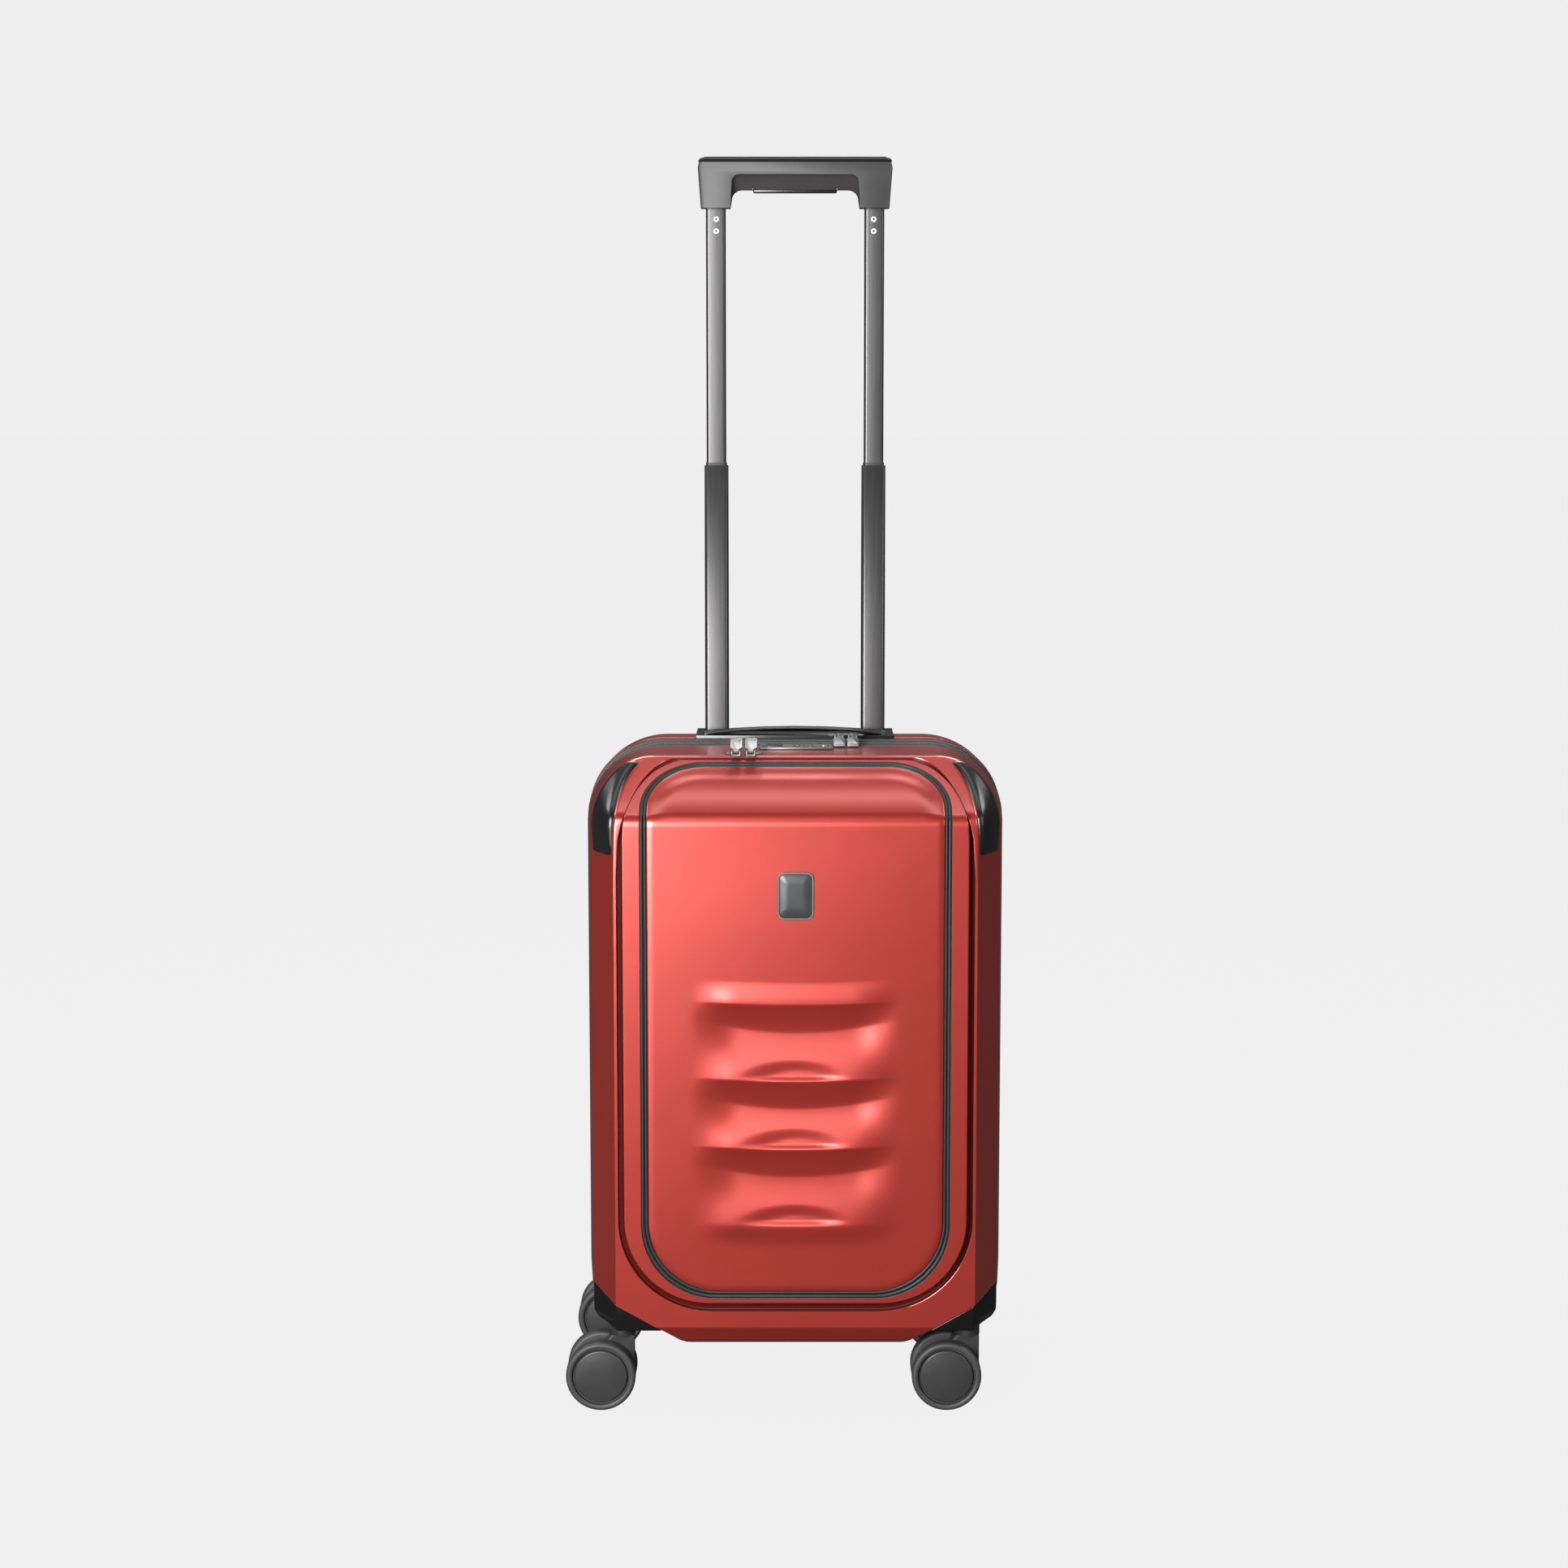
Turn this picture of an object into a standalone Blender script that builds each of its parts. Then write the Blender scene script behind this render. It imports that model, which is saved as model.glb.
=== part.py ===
"""Hard-shell cabin spinner case with an extended two-stage trolley handle.

Lengths are in metres, +Z is up and the front of the case faces -Y.  Every size is
given about the case's own centre line; the whole case then hangs from one empty that
puts the origin at the bottom centre of its bounding box.
"""
import math

import bmesh
import bpy
from mathutils import Matrix, Vector

# ---------------------------------------------------------------- driving sizes
GAP = 0.0003                 # clearance between neighbouring pieces
WALL = 0.0027                # shell wall
CORNER_STEPS = 6             # segments in each rounded corner

# shell
HALF_WIDTH = 0.1765
SHELL_BOTTOM = 0.053
SHELF_Z = 0.543              # top of the front half
CREST_Z = 0.546              # top of the back half
BACK_Y = 0.115
FRONT_RIM_Y = 0.020
BACK_RIM_Y = 0.0513
LOW_CORNER = (0.088, 0.044)
TOP_CORNER = (0.065, 0.062)

# front face: an upright pad that leans back above a crease
PAD_Y = -0.112
CREASE_Z = 0.4985
FACET_SLOPE = math.radians(38.7)
FRAME_Y = -0.105             # outer frame around the pad
FRAME_KNEE_Z = 0.500
FRAME_LEAN = 1.3             # metres back per metre up, above the knee

# front door in the pad
DOOR_HALF_WIDTH = 0.1213
DOOR_LOW = 0.1047
DOOR_HIGH = 0.5579           # measured along the pad, round the crease
DOOR_LOW_CORNER = (0.058, 0.058)
DOOR_HIGH_CORNER = (0.046, 0.046)
DOOR_CROWN = 0.0015
ZIP_WIDTH = 0.0057

# main zip and expansion band
MAIN_ZIP_Y = 0.0304
BAND_SPLIT_Y = 0.0410

# trolley
TUBE_X = 0.0673
TUBE_Y = 0.080
LOWER_TUBE = (0.0205, 0.0140)
UPPER_TUBE = (0.0168, 0.0102)
TUBE_WALL = 0.0012
LOWER_TUBE_TOP = 0.778
LOWER_TUBE_BOTTOM = 0.505
UPPER_TUBE_BOTTOM = 0.745
GRIP_BOTTOM = 0.995
GRIP_TOP = 1.038
GRIP_FRONT_Y = 0.064
GRIP_BACK_Y = 0.092

# top bezel and carry handle
BEZEL_HALF_WIDTH = 0.0850
BEZEL_Z = (0.5412, 0.5480)
BEZEL_Y = (0.0519, 0.1060)
HANDLE_HALF_SPAN = 0.0785
HANDLE_Y = (0.0545, 0.0695)
HANDLE_THICK = 0.0042
HANDLE_TOP_Z = 0.5544
HANDLE_END_Z = 0.5480
HANDLE_FOOT_Z = 0.5290

# casters
WHEEL_R = 0.029
WHEEL_SIDES = 24
WHEEL_WIDTH = 0.013
WHEEL_PITCH = 0.0325
HUB_R = 0.0235
AXLE_R = 0.003
CASTER_X = 0.144
CASTER_Y = 0.0835
TRAIL = 0.018
HOUSING_Z = 0.068
KINGPIN_R = 0.004

# lock, sliders and pull tabs
LOCK_X = (-0.0295, 0.0315)
LOCK_Y = (-0.012, 0.012)
LOCK_TOP_Z = 0.5453
DIAL_R = 0.006
DIAL_X = (0.0016, 0.0089, 0.0163)
KEY_X = 0.0245
TAB_LENGTH = 0.028
TAB_WIDTH = 0.0098
TAB_THICK = 0.0014

WHEEL_TIP_R = WHEEL_R / math.cos(math.pi / WHEEL_SIDES)
LEFT_REACH = CASTER_X + TRAIL + WHEEL_TIP_R
ORIGIN_SHIFT_X = (LEFT_REACH - HALF_WIDTH) / 2

GUARD_LIFTS = (0.0013, 0.0026, 0.0038, 0.0038, 0.0026)

SIDES = (("left", -1), ("right", 1))
ENDS = (("front", -1), ("rear", 1))


# ---------------------------------------------------------------- scene and materials
def clear_scene():
    for obj in list(bpy.data.objects):
        bpy.data.objects.remove(obj, do_unlink=True)


def material(name, colour, roughness, metallic=0.0, coat=0.0):
    made = bpy.data.materials.new(name)
    made.use_nodes = True
    shader = made.node_tree.nodes["Principled BSDF"]
    shader.inputs["Base Color"].default_value = (*colour, 1.0)
    shader.inputs["Roughness"].default_value = roughness
    shader.inputs["Metallic"].default_value = metallic
    shader.inputs["Coat Weight"].default_value = coat
    return made


clear_scene()
case_frame = bpy.data.objects.new("case_frame", None)
case_frame.location = (ORIGIN_SHIFT_X, 0, 0)
bpy.context.scene.collection.objects.link(case_frame)

RED_SHELL = material("red_shell", (0.50, 0.035, 0.025), 0.28, 0.25, 0.6)
BLACK_GLOSS = material("black_gloss", (0.012, 0.012, 0.013), 0.25)
BLACK_SATIN = material("black_satin", (0.02, 0.02, 0.021), 0.45)
ZIP_TAPE = material("zip_tape", (0.035, 0.038, 0.038), 0.75)
LINING = material("lining", (0.09, 0.09, 0.10), 0.9)
TUBE_METAL = material("tube_metal", (0.30, 0.29, 0.29), 0.35, 0.9)
SATIN_SILVER = material("satin_silver", (0.62, 0.62, 0.60), 0.35, 0.9)
DARK_METAL = material("dark_metal", (0.10, 0.10, 0.10), 0.4, 0.7)
WHEEL_GREY = material("wheel_grey", (0.11, 0.11, 0.11), 0.5)


def add_node(name, mesh_data, look, pivot=(0, 0, 0)):
    """Turn a bmesh in case coordinates into an object whose origin is its pivot."""
    bmesh.ops.recalc_face_normals(mesh_data, faces=mesh_data.faces)
    bmesh.ops.translate(mesh_data, verts=mesh_data.verts, vec=-Vector(pivot))
    mesh = bpy.data.meshes.new(name)
    mesh_data.to_mesh(mesh)
    mesh_data.free()
    mesh.materials.append(look)
    obj = bpy.data.objects.new(name, mesh)
    obj.parent = case_frame
    obj.location = pivot
    bpy.context.scene.collection.objects.link(obj)
    return obj


def boolean(target, tool_mesh, operation="DIFFERENCE"):
    """Cut or join a second bmesh, in case coordinates, with the target object."""
    index = len(target.modifiers)
    tool = add_node(f"{target.name}_tool_{index}", tool_mesh, BLACK_SATIN)
    tool.hide_render = True
    tool.display_type = "WIRE"
    modifier = target.modifiers.new(f"{operation.lower()}_{index}", "BOOLEAN")
    modifier.operation = operation
    modifier.object = tool
    return modifier


# ---------------------------------------------------------------- mesh helpers
def rounded_outline(half_width, low, high, low_corner, high_corner, knee=CREASE_Z):
    """Points (x, z, low weight, high weight) round a rounded rectangle.

    The weights run from 1 on the bottom or top edge to 0 on the upright sides.  Point i
    mirrors point -1 - i, and each side carries one extra point at the knee.
    """
    right = []
    for step in range(CORNER_STEPS + 1):
        angle = math.pi / 2 * step / CORNER_STEPS
        x = half_width - low_corner[0] * (1 - math.sin(angle))
        z = low + low_corner[1] * (1 - math.cos(angle))
        right.append((x, z, 1 - step / CORNER_STEPS, 0.0))
    side_top = high - high_corner[1]
    right.append((half_width, min(knee, side_top - 0.001), 0.0, 0.0))
    for step in range(CORNER_STEPS + 1):
        angle = math.pi / 2 * step / CORNER_STEPS
        x = half_width - high_corner[0] * (1 - math.cos(angle))
        z = side_top + high_corner[1] * math.sin(angle)
        right.append((x, z, 0.0, step / CORNER_STEPS))
    left = [(-x, z, low_weight, high_weight) for x, z, low_weight, high_weight in reversed(right)]
    return right + left


def pad_point(x, along, lift=0.0):
    """A point on the pad: upright below the crease, leaning back above it."""
    back, up = math.cos(FACET_SLOPE), math.sin(FACET_SLOPE)
    if along < CREASE_Z - 1e-6:
        return Vector((x, PAD_Y - lift, along))
    if along < CREASE_Z + 1e-6:
        return Vector((x, PAD_Y - lift, CREASE_Z + lift * math.tan(math.pi / 4 - FACET_SLOPE / 2)))
    run = along - CREASE_Z
    return Vector((x, PAD_Y + run * back - lift * up, CREASE_Z + run * up + lift * back))


def pad_loop(half_width, low, high, low_corner, high_corner, lift=0.0):
    outline = rounded_outline(half_width, low, high, low_corner, high_corner)
    return [pad_point(x, along, lift) for x, along, _, _ in outline]


def frame_loop(half_width, low, high, low_corner, high_corner, lift=0.0):
    """A loop on the outer frame, whose face leans back parallel to the pad."""
    points = []
    for x, z, _, _ in rounded_outline(half_width, low, high, low_corner, high_corner):
        lean = max(0.0, z - FRAME_KNEE_Z) * FRAME_LEAN
        points.append(Vector((x, FRAME_Y - lift + lean, z)))
    return points


def depth_loop(half_width, low, high, low_corner, high_corner, y_side, y_low=None, y_high=None):
    """A loop whose depth differs on its sides, its bottom edge and its top edge."""
    y_low = y_side if y_low is None else y_low
    y_high = y_side if y_high is None else y_high
    points = []
    for x, z, low_weight, high_weight in rounded_outline(half_width, low, high, low_corner, high_corner):
        y = y_side + (y_low - y_side) * low_weight + (y_high - y_side) * high_weight
        points.append(Vector((x, y, z)))
    return points


def loft(loops, ring=False, cap_first=False, cap_last=False):
    """Skin a series of matching loops; caps join each point to its mirror image."""
    made = bmesh.new()
    rows = [[made.verts.new(point) for point in loop] for loop in loops]
    count = len(rows[0])
    pairs = list(zip(rows, rows[1:]))
    if ring:
        pairs.append((rows[-1], rows[0]))
    for first, second in pairs:
        for index in range(count):
            after = (index + 1) % count
            made.faces.new((first[index], first[after], second[after], second[index]))
    for wanted, row in ((cap_first, rows[0]), (cap_last, rows[-1])):
        if wanted:
            for index in range(count // 2 - 1):
                made.faces.new((row[index], row[index + 1], row[-2 - index], row[-1 - index]))
    return made


def extrude_outline(points, start, end):
    """A prism: the outline at the start vector offset, carried to the end offset."""
    made = bmesh.new()
    near = [made.verts.new(Vector(point) + Vector(start)) for point in points]
    far = [made.verts.new(Vector(point) + Vector(end)) for point in points]
    made.faces.new(near)
    made.faces.new(list(reversed(far)))
    count = len(points)
    for index in range(count):
        after = (index + 1) % count
        made.faces.new((near[index], near[after], far[after], far[index]))
    return made


def box(x_range, y_range, z_range):
    corners = [(x_range[0], y_range[0], 0), (x_range[1], y_range[0], 0),
               (x_range[1], y_range[1], 0), (x_range[0], y_range[1], 0)]
    return extrude_outline(corners, (0, 0, z_range[0]), (0, 0, z_range[1]))


def bevelled_box(x_range, y_range, z_range, radius, segments=1):
    made = box(x_range, y_range, z_range)
    bmesh.ops.bevel(made, geom=made.edges, offset=radius, segments=segments, affect="EDGES")
    return made


def cylinder(centre, axis, radius, length, sides=16):
    made = bmesh.new()
    bmesh.ops.create_cone(made, cap_ends=True, segments=sides, radius1=radius, radius2=radius, depth=length)
    turn = Vector((0, 0, 1)).rotation_difference(Vector(axis)).to_matrix().to_4x4()
    bmesh.ops.transform(made, matrix=Matrix.Translation(centre) @ turn, verts=made.verts)
    return made


def tube_outline(width, depth, radius, steps=3):
    """A rounded rectangle in plan, centred on the tube axis."""
    points = []
    for quarter in range(4):
        sign_x = 1 if quarter in (0, 3) else -1
        sign_y = 1 if quarter in (0, 1) else -1
        for step in range(steps + 1):
            angle = math.pi / 2 * (quarter + step / steps)
            x = sign_x * (width / 2 - radius) + radius * math.cos(angle)
            y = sign_y * (depth / 2 - radius) + radius * math.sin(angle)
            points.append((x, y))
    return points


def tube(centre_x, outer, wall, z_range, radius=0.003):
    """A straight open-ended tube with a rounded rectangular section."""
    inner = (outer[0] - 2 * wall, outer[1] - 2 * wall)
    loops = []
    for size, corner, z in ((outer, radius, z_range[0]), (outer, radius, z_range[1]),
                            (inner, radius - wall / 2, z_range[1]), (inner, radius - wall / 2, z_range[0])):
        loops.append([Vector((centre_x + x, TUBE_Y + y, z)) for x, y in tube_outline(*size, corner)])
    return loft(loops, ring=True)


def tube_cutter(centre_x, size, z_range, radius=0.003):
    points = [(centre_x + x, TUBE_Y + y, 0) for x, y in tube_outline(*size, radius)]
    return extrude_outline(points, (0, 0, z_range[0]), (0, 0, z_range[1]))


def turned(profile, sides, centre):
    """Spin a profile of (radius, y) pairs, which starts and ends on the axis, about Y."""
    made = bmesh.new()
    rows = []
    for radius, y in profile:
        if radius < 1e-7:
            rows.append([made.verts.new((0, y, 0))])
            continue
        row = []
        for side in range(sides):
            angle = 2 * math.pi * (side + 0.5) / sides
            row.append(made.verts.new((radius * math.sin(angle), y, -radius * math.cos(angle))))
        rows.append(row)
    for first, second in zip(rows, rows[1:]):
        for side in range(sides):
            after = (side + 1) % sides
            corners = [first[side % len(first)], first[after % len(first)],
                       second[after % len(second)], second[side % len(second)]]
            unique = list(dict.fromkeys(corners))
            made.faces.new(unique)
    bmesh.ops.translate(made, verts=made.verts, vec=Vector(centre))
    return made


# ---------------------------------------------------------------- shells
def shell_top(y):
    """Height of the case's top at a depth: it steps up across the zip band."""
    share = (y - FRONT_RIM_Y) / (BACK_RIM_Y - FRONT_RIM_Y)
    return SHELF_Z + (CREST_Z - SHELF_Z) * min(1.0, max(0.0, share))


def rim_loop(y, inset=0.0):
    low_corner = (LOW_CORNER[0] - inset, LOW_CORNER[1] - inset)
    top_corner = (TOP_CORNER[0] - inset, TOP_CORNER[1] - inset)
    top = shell_top(y) - inset
    return depth_loop(HALF_WIDTH - inset, SHELL_BOTTOM + inset, top, low_corner, top_corner, y)


def ring_band(y_front, y_back, outset, inset):
    """A hoop round the case between two depths, from one inset to another."""
    corners = ((y_front, outset), (y_back, outset), (y_back, inset), (y_front, inset))
    return loft([rim_loop(y, depth) for y, depth in corners], ring=True)


def gusset_sleeve(y_front, y_back):
    """The sleeve nested inside the back half, low enough to pass under the bezel."""
    loops = []
    for y, inset in ((y_front, 0.0068), (y_back, 0.0068), (y_back, 0.0078), (y_front, 0.0078)):
        size = (HALF_WIDTH - inset, SHELL_BOTTOM + inset, 0.5340 - inset)
        loops.append(depth_loop(*size, (0.0812, 0.0372), (0.058, 0.055), y))
    return loft(loops, ring=True)


PAD_EDGE = (0.1412, 0.094, 0.566, (0.070, 0.070), (0.053, 0.088))
OPENING = (0.1273, 0.0979, 0.5641, (0.062, 0.062), (0.053, 0.053))
FACET_START = (0.1695, 0.0534, 0.5430, (0.084, 0.042), (0.050, 0.056))
FACET_MIDDLE = (0.1650, 0.0580, 0.5428, (0.060, 0.034), (0.048, 0.058))
FACET_END = (0.1490, 0.0710, 0.5422, (0.004, 0.004), (0.032, 0.064))


def front_outer_loops():
    inside_opening = (0.1250, 0.1005, 0.5615, (0.0600, 0.0600), (0.0510, 0.0510))
    return [
        rim_loop(FRONT_RIM_Y),
        depth_loop(*FACET_START, -0.070, -0.088, -0.044),
        depth_loop(*FACET_MIDDLE, -0.0777, -0.097, -0.047),
        frame_loop(*FACET_END),
        frame_loop(0.1466, 0.085, 0.5418, (0.078, 0.078), (0.050, 0.084)),
        frame_loop(0.1456, 0.0862, 0.5380, (0.077, 0.077), (0.050, 0.082), -0.0045),
        pad_loop(0.1422, 0.0928, 0.5650, (0.071, 0.071), (0.0535, 0.088), -0.0075),
        pad_loop(*PAD_EDGE),
        pad_loop(*inside_opening),
    ]


def front_cavity_loops():
    return [
        pad_loop(*OPENING, 0.0040),
        pad_loop(*OPENING, -0.0095),
        pad_loop(0.1380, 0.0970, 0.5600, (0.067, 0.067), (0.052, 0.086), -0.0110),
        frame_loop(0.1480, 0.0740, 0.5330, (0.020, 0.020), (0.044, 0.070), -0.0110),
        depth_loop(0.1664, 0.0575, 0.5400, (0.080, 0.038), (0.050, 0.056), -0.0685, -0.086, -0.042),
        rim_loop(FRONT_RIM_Y, WALL),
        rim_loop(FRONT_RIM_Y + 0.002, WALL),
    ]


def back_outer_loops():
    return [
        rim_loop(BACK_RIM_Y),
        depth_loop(0.1745, 0.0545, 0.5450, (0.086, 0.042), (0.065, 0.062), 0.095),
        depth_loop(0.1685, 0.0610, 0.5390, (0.080, 0.040), (0.062, 0.060), 0.108),
        depth_loop(0.1580, 0.0720, 0.5280, (0.070, 0.036), (0.056, 0.056), 0.1135),
        depth_loop(0.1480, 0.0820, 0.5180, (0.060, 0.030), (0.050, 0.050), BACK_Y),
    ]


def back_cavity_loops():
    return [
        rim_loop(BACK_RIM_Y - 0.002, WALL),
        rim_loop(BACK_RIM_Y, WALL),
        depth_loop(0.1718, 0.0572, 0.5423, (0.083, 0.039), (0.062, 0.060), 0.0945),
        depth_loop(0.1660, 0.0635, 0.5365, (0.077, 0.037), (0.060, 0.058), 0.1062),
        depth_loop(0.1560, 0.0740, 0.5260, (0.067, 0.033), (0.054, 0.054), 0.1110),
        depth_loop(0.1455, 0.0845, 0.5155, (0.058, 0.028), (0.048, 0.048), BACK_Y - WALL),
    ]


def housing_slant(x):
    """Height of the slanted joint between shell and caster housing."""
    return 0.0672 + (x - 0.109) * 0.57


def corner_wedge(side, y_range, grow=0.0):
    """The wedge that each caster housing takes out of a shell's bottom corner."""
    outline = [(0.0885 - grow, 0.050), (0.0885 - grow, 0.0530 + grow), (0.109, housing_slant(0.109) + grow),
               (0.190, housing_slant(0.190) + grow), (0.190, 0.050)]
    points = [(side * x, 0, z) for x, z in outline]
    return extrude_outline(points, (0, y_range[0], 0), (0, y_range[1], 0))


def build_shell(name, outer, cavity, wedge_y, wall_side):
    """A moulded shell: its outer form less its cavity, with walled-off caster corners."""
    shell = add_node(name, loft(outer, cap_first=True, cap_last=True), RED_SHELL)
    walled = list(wedge_y)
    walled[wall_side] += WALL if wall_side else -WALL
    for _, side in SIDES:
        boolean(shell, corner_wedge(side, wedge_y))
    cavity_tool = boolean(shell, loft(cavity, cap_first=True, cap_last=True)).object
    for _, side in SIDES:
        boolean(cavity_tool, corner_wedge(side, walled, WALL))
    return shell


def build_shells():
    front = build_shell("front_shell", front_outer_loops(), front_cavity_loops(), (-0.125, -0.048), 1)
    lock_hole = (LOCK_X[0] + 0.0017, LOCK_X[1] - 0.0017)
    boolean(front, box(lock_hole, (-0.0103, 0.0103), (0.530, 0.550)))
    back = build_shell("back_shell", back_outer_loops(), back_cavity_loops(), (0.0540, 0.125), 0)
    bezel_hole = (-BEZEL_HALF_WIDTH - GAP, BEZEL_HALF_WIDTH + GAP)
    boolean(back, box(bezel_hole, (0.045, BEZEL_Y[1] + GAP), (0.5360, 0.560)))


# ---------------------------------------------------------------- zips and lining
def build_zip_bands():
    bands = (
        ("main_zip_front_tape", FRONT_RIM_Y + GAP, MAIN_ZIP_Y - GAP / 2, 0.0030),
        ("main_zip_rear_tape", MAIN_ZIP_Y + GAP / 2, BAND_SPLIT_Y - GAP / 2, 0.0026),
        ("back_zip_tape", BAND_SPLIT_Y + GAP / 2, BACK_RIM_Y - GAP, 0.0026),
    )
    for name, start, end, inset in bands:
        add_node(name, ring_band(start, end, 0.0006, inset), ZIP_TAPE)
    gusset = add_node("expansion_gusset", gusset_sleeve(MAIN_ZIP_Y + 0.001, 0.0700), LINING)
    for _, side in SIDES:
        boolean(gusset, corner_wedge(side, (0.0505, 0.125), WALL + 0.0010))


def build_door():
    outline = (DOOR_HALF_WIDTH, DOOR_LOW, DOOR_HIGH, DOOR_LOW_CORNER, DOOR_HIGH_CORNER)
    inset = 0.008
    crown = (DOOR_HALF_WIDTH - inset, DOOR_LOW + inset, DOOR_HIGH - inset, (0.050, 0.050), (0.039, 0.039))
    door = [pad_loop(*crown, DOOR_CROWN - 0.0030), pad_loop(*outline, -0.0040),
            pad_loop(*outline, -0.0002), pad_loop(*crown, DOOR_CROWN)]
    add_node("door_panel", loft(door, cap_first=True, cap_last=True), RED_SHELL,
             (0, PAD_Y, DOOR_LOW))
    outer = (DOOR_HALF_WIDTH + ZIP_WIDTH, DOOR_LOW - ZIP_WIDTH - 0.0008, DOOR_HIGH + ZIP_WIDTH + 0.0002,
             (0.0617, 0.0617), (0.0527, 0.0527))
    inner = (DOOR_HALF_WIDTH + GAP, DOOR_LOW - GAP, DOOR_HIGH + GAP, (0.0583, 0.0583), (0.0463, 0.0463))
    edges = ((outer, -0.0045), (outer, -0.0008), (inner, -0.0008), (inner, -0.0045))
    ring = [pad_loop(*size, lift) for size, lift in edges]
    add_node("door_zip_tape", loft(ring, ring=True), ZIP_TAPE)
    badge = extrude_outline([(x, 0, z) for x, z in plate_outline(0.0152, 0.4160, 0.4555, 0.006)],
                            (0, -0.1150, 0), (0, -0.1138, 0))
    add_node("badge_plate", badge, SATIN_SILVER, (0, PAD_Y, DOOR_LOW))


def plate_outline(half_width, low, high, radius, steps=3):
    points = []
    for quarter, (x, z) in enumerate(((1, 1), (-1, 1), (-1, -1), (1, -1))):
        centre_x = x * (half_width - radius)
        centre_z = high - radius if z > 0 else low + radius
        for step in range(steps + 1):
            angle = math.pi / 2 * (quarter + step / steps)
            points.append((centre_x + radius * math.cos(angle), centre_z + radius * math.sin(angle)))
    return points


def build_pocket_panel():
    """The stiffened fabric wall between the front pocket and the main compartment."""
    loop = (0.1655, 0.0625, 0.5280, (0.074, 0.034), (0.052, 0.056))
    panel = [depth_loop(*loop, -0.0400), depth_loop(*loop, -0.0385)]
    add_node("pocket_back_panel", loft(panel, cap_first=True, cap_last=True), LINING)


# ---------------------------------------------------------------- corner guards and housings
def build_corner_guards():
    """Glossy guards that lie on the front shell's two upper corner facets."""
    first, last = CORNER_STEPS + 1, 2 * CORNER_STEPS + 1
    outer_edge = depth_loop(*FACET_START, -0.070, -0.088, -0.044)
    middle = depth_loop(*FACET_MIDDLE, -0.0777, -0.097, -0.047)
    inner_edge = frame_loop(*FACET_END)
    start_z = 0.467
    for name, side in SIDES:
        rows = []
        for index in range(first, last):
            points = [loop[index].copy() for loop in (outer_edge, middle, inner_edge)]
            if index == first:
                for point in points:
                    point.z = start_z
            outer, centre, inner = points
            rows.append([outer.lerp(centre, 0.3), centre, centre.lerp(inner, 0.5), centre.lerp(inner, 0.95)])
        loops = []
        for index, row in enumerate(rows):
            normal = facet_normal(rows, index)
            near = [point + normal * GUARD_LIFTS[0] for point in row]
            far = [point + normal * lift for point, lift in zip(row, GUARD_LIFTS[1:])]
            loops.append([mirror_x(point, side) for point in near + list(reversed(far))])
        made = loft(loops)
        made.verts.ensure_lookup_table()
        count = len(loops[0])
        for loop_start in (0, (len(loops) - 1) * count):
            made.faces.new([made.verts[loop_start + index] for index in range(count)])
        add_node(f"corner_guard_{name}", made, BLACK_GLOSS)


def mirror_x(point, side):
    return Vector((side * point.x, point.y, point.z))


def facet_normal(rows, index):
    """The outward normal of the facet strip at one row, on the right-hand side."""
    before, after = rows[max(0, index - 1)], rows[min(len(rows) - 1, index + 1)]
    across = rows[index][-1] - rows[index][0]
    along = after[1] - before[1]
    normal = along.cross(across).normalized()
    return normal if normal.y < 0 else -normal


HOUSING_PLANS = {
    "front": [(0.1095, -0.1035), (0.1485, -0.1035), (0.1688, -0.0700), (0.1705, -0.0485), (0.1095, -0.0485)],
    "rear": [(0.1095, 0.0550), (0.1752, 0.0550), (0.1738, 0.0945), (0.1675, 0.1075), (0.1570, 0.1125),
             (0.1095, 0.1125)],
}


HOUSING_DRAW_IN = ((0.0, 1.0), (0.0025, 0.45), (0.0085, 0.0))


def build_housing(end, name, side):
    """A corner block whose slanted top closes the shell's cut corner."""
    loops = []
    for rise, share in HOUSING_DRAW_IN + ((0.052, 0.0),):
        loop = []
        for x, y in HOUSING_PLANS[end]:
            pull_x = 0.0085 * share if x > 0.15 else 0.0
            pull_y = 0.0050 * share if y > 0.10 else 0.0
            loop.append(Vector((side * (x - pull_x), y - pull_y, HOUSING_Z + rise)))
        loops.append(loop)
    made = loft(loops)
    made.verts.ensure_lookup_table()
    count = len(loops[0])
    for start in (0, (len(loops) - 1) * count):
        made.faces.new([made.verts[start + index] for index in range(count)])
    slant = Vector((side * 0.57, 0, -1)).normalized()
    point = Vector((side * 0.109, 0, housing_slant(0.109) - 2 * GAP))
    cut = bmesh.ops.bisect_plane(made, geom=made.verts[:] + made.edges[:] + made.faces[:],
                                 plane_co=point, plane_no=-slant, clear_outer=True)
    edges = [item for item in cut["geom_cut"] if isinstance(item, bmesh.types.BMEdge)]
    bmesh.ops.holes_fill(made, edges=edges)
    bmesh.ops.triangulate(made, faces=made.faces)
    housing = add_node(f"{end}_housing_{name}", made, BLACK_GLOSS)
    y = CASTER_Y * (1 if end == "rear" else -1)
    bore = cylinder((side * CASTER_X, y, HOUSING_Z + 0.004), (0, 0, 1), KINGPIN_R + GAP, 0.0165)
    boolean(housing, bore)


# ---------------------------------------------------------------- casters
def fork_outline():
    """Side view of the fork: a round boss at the axle running up into the stem."""
    points = []
    boss = 0.0125
    for step in range(9):
        angle = math.radians(150 + 180 * step / 8)
        points.append((-TRAIL + boss * math.cos(angle), WHEEL_R + boss * math.sin(angle)))
    points += [(0.0095, 0.040), (0.0095, 0.0605), (-0.0095, 0.0605)]
    return points


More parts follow.
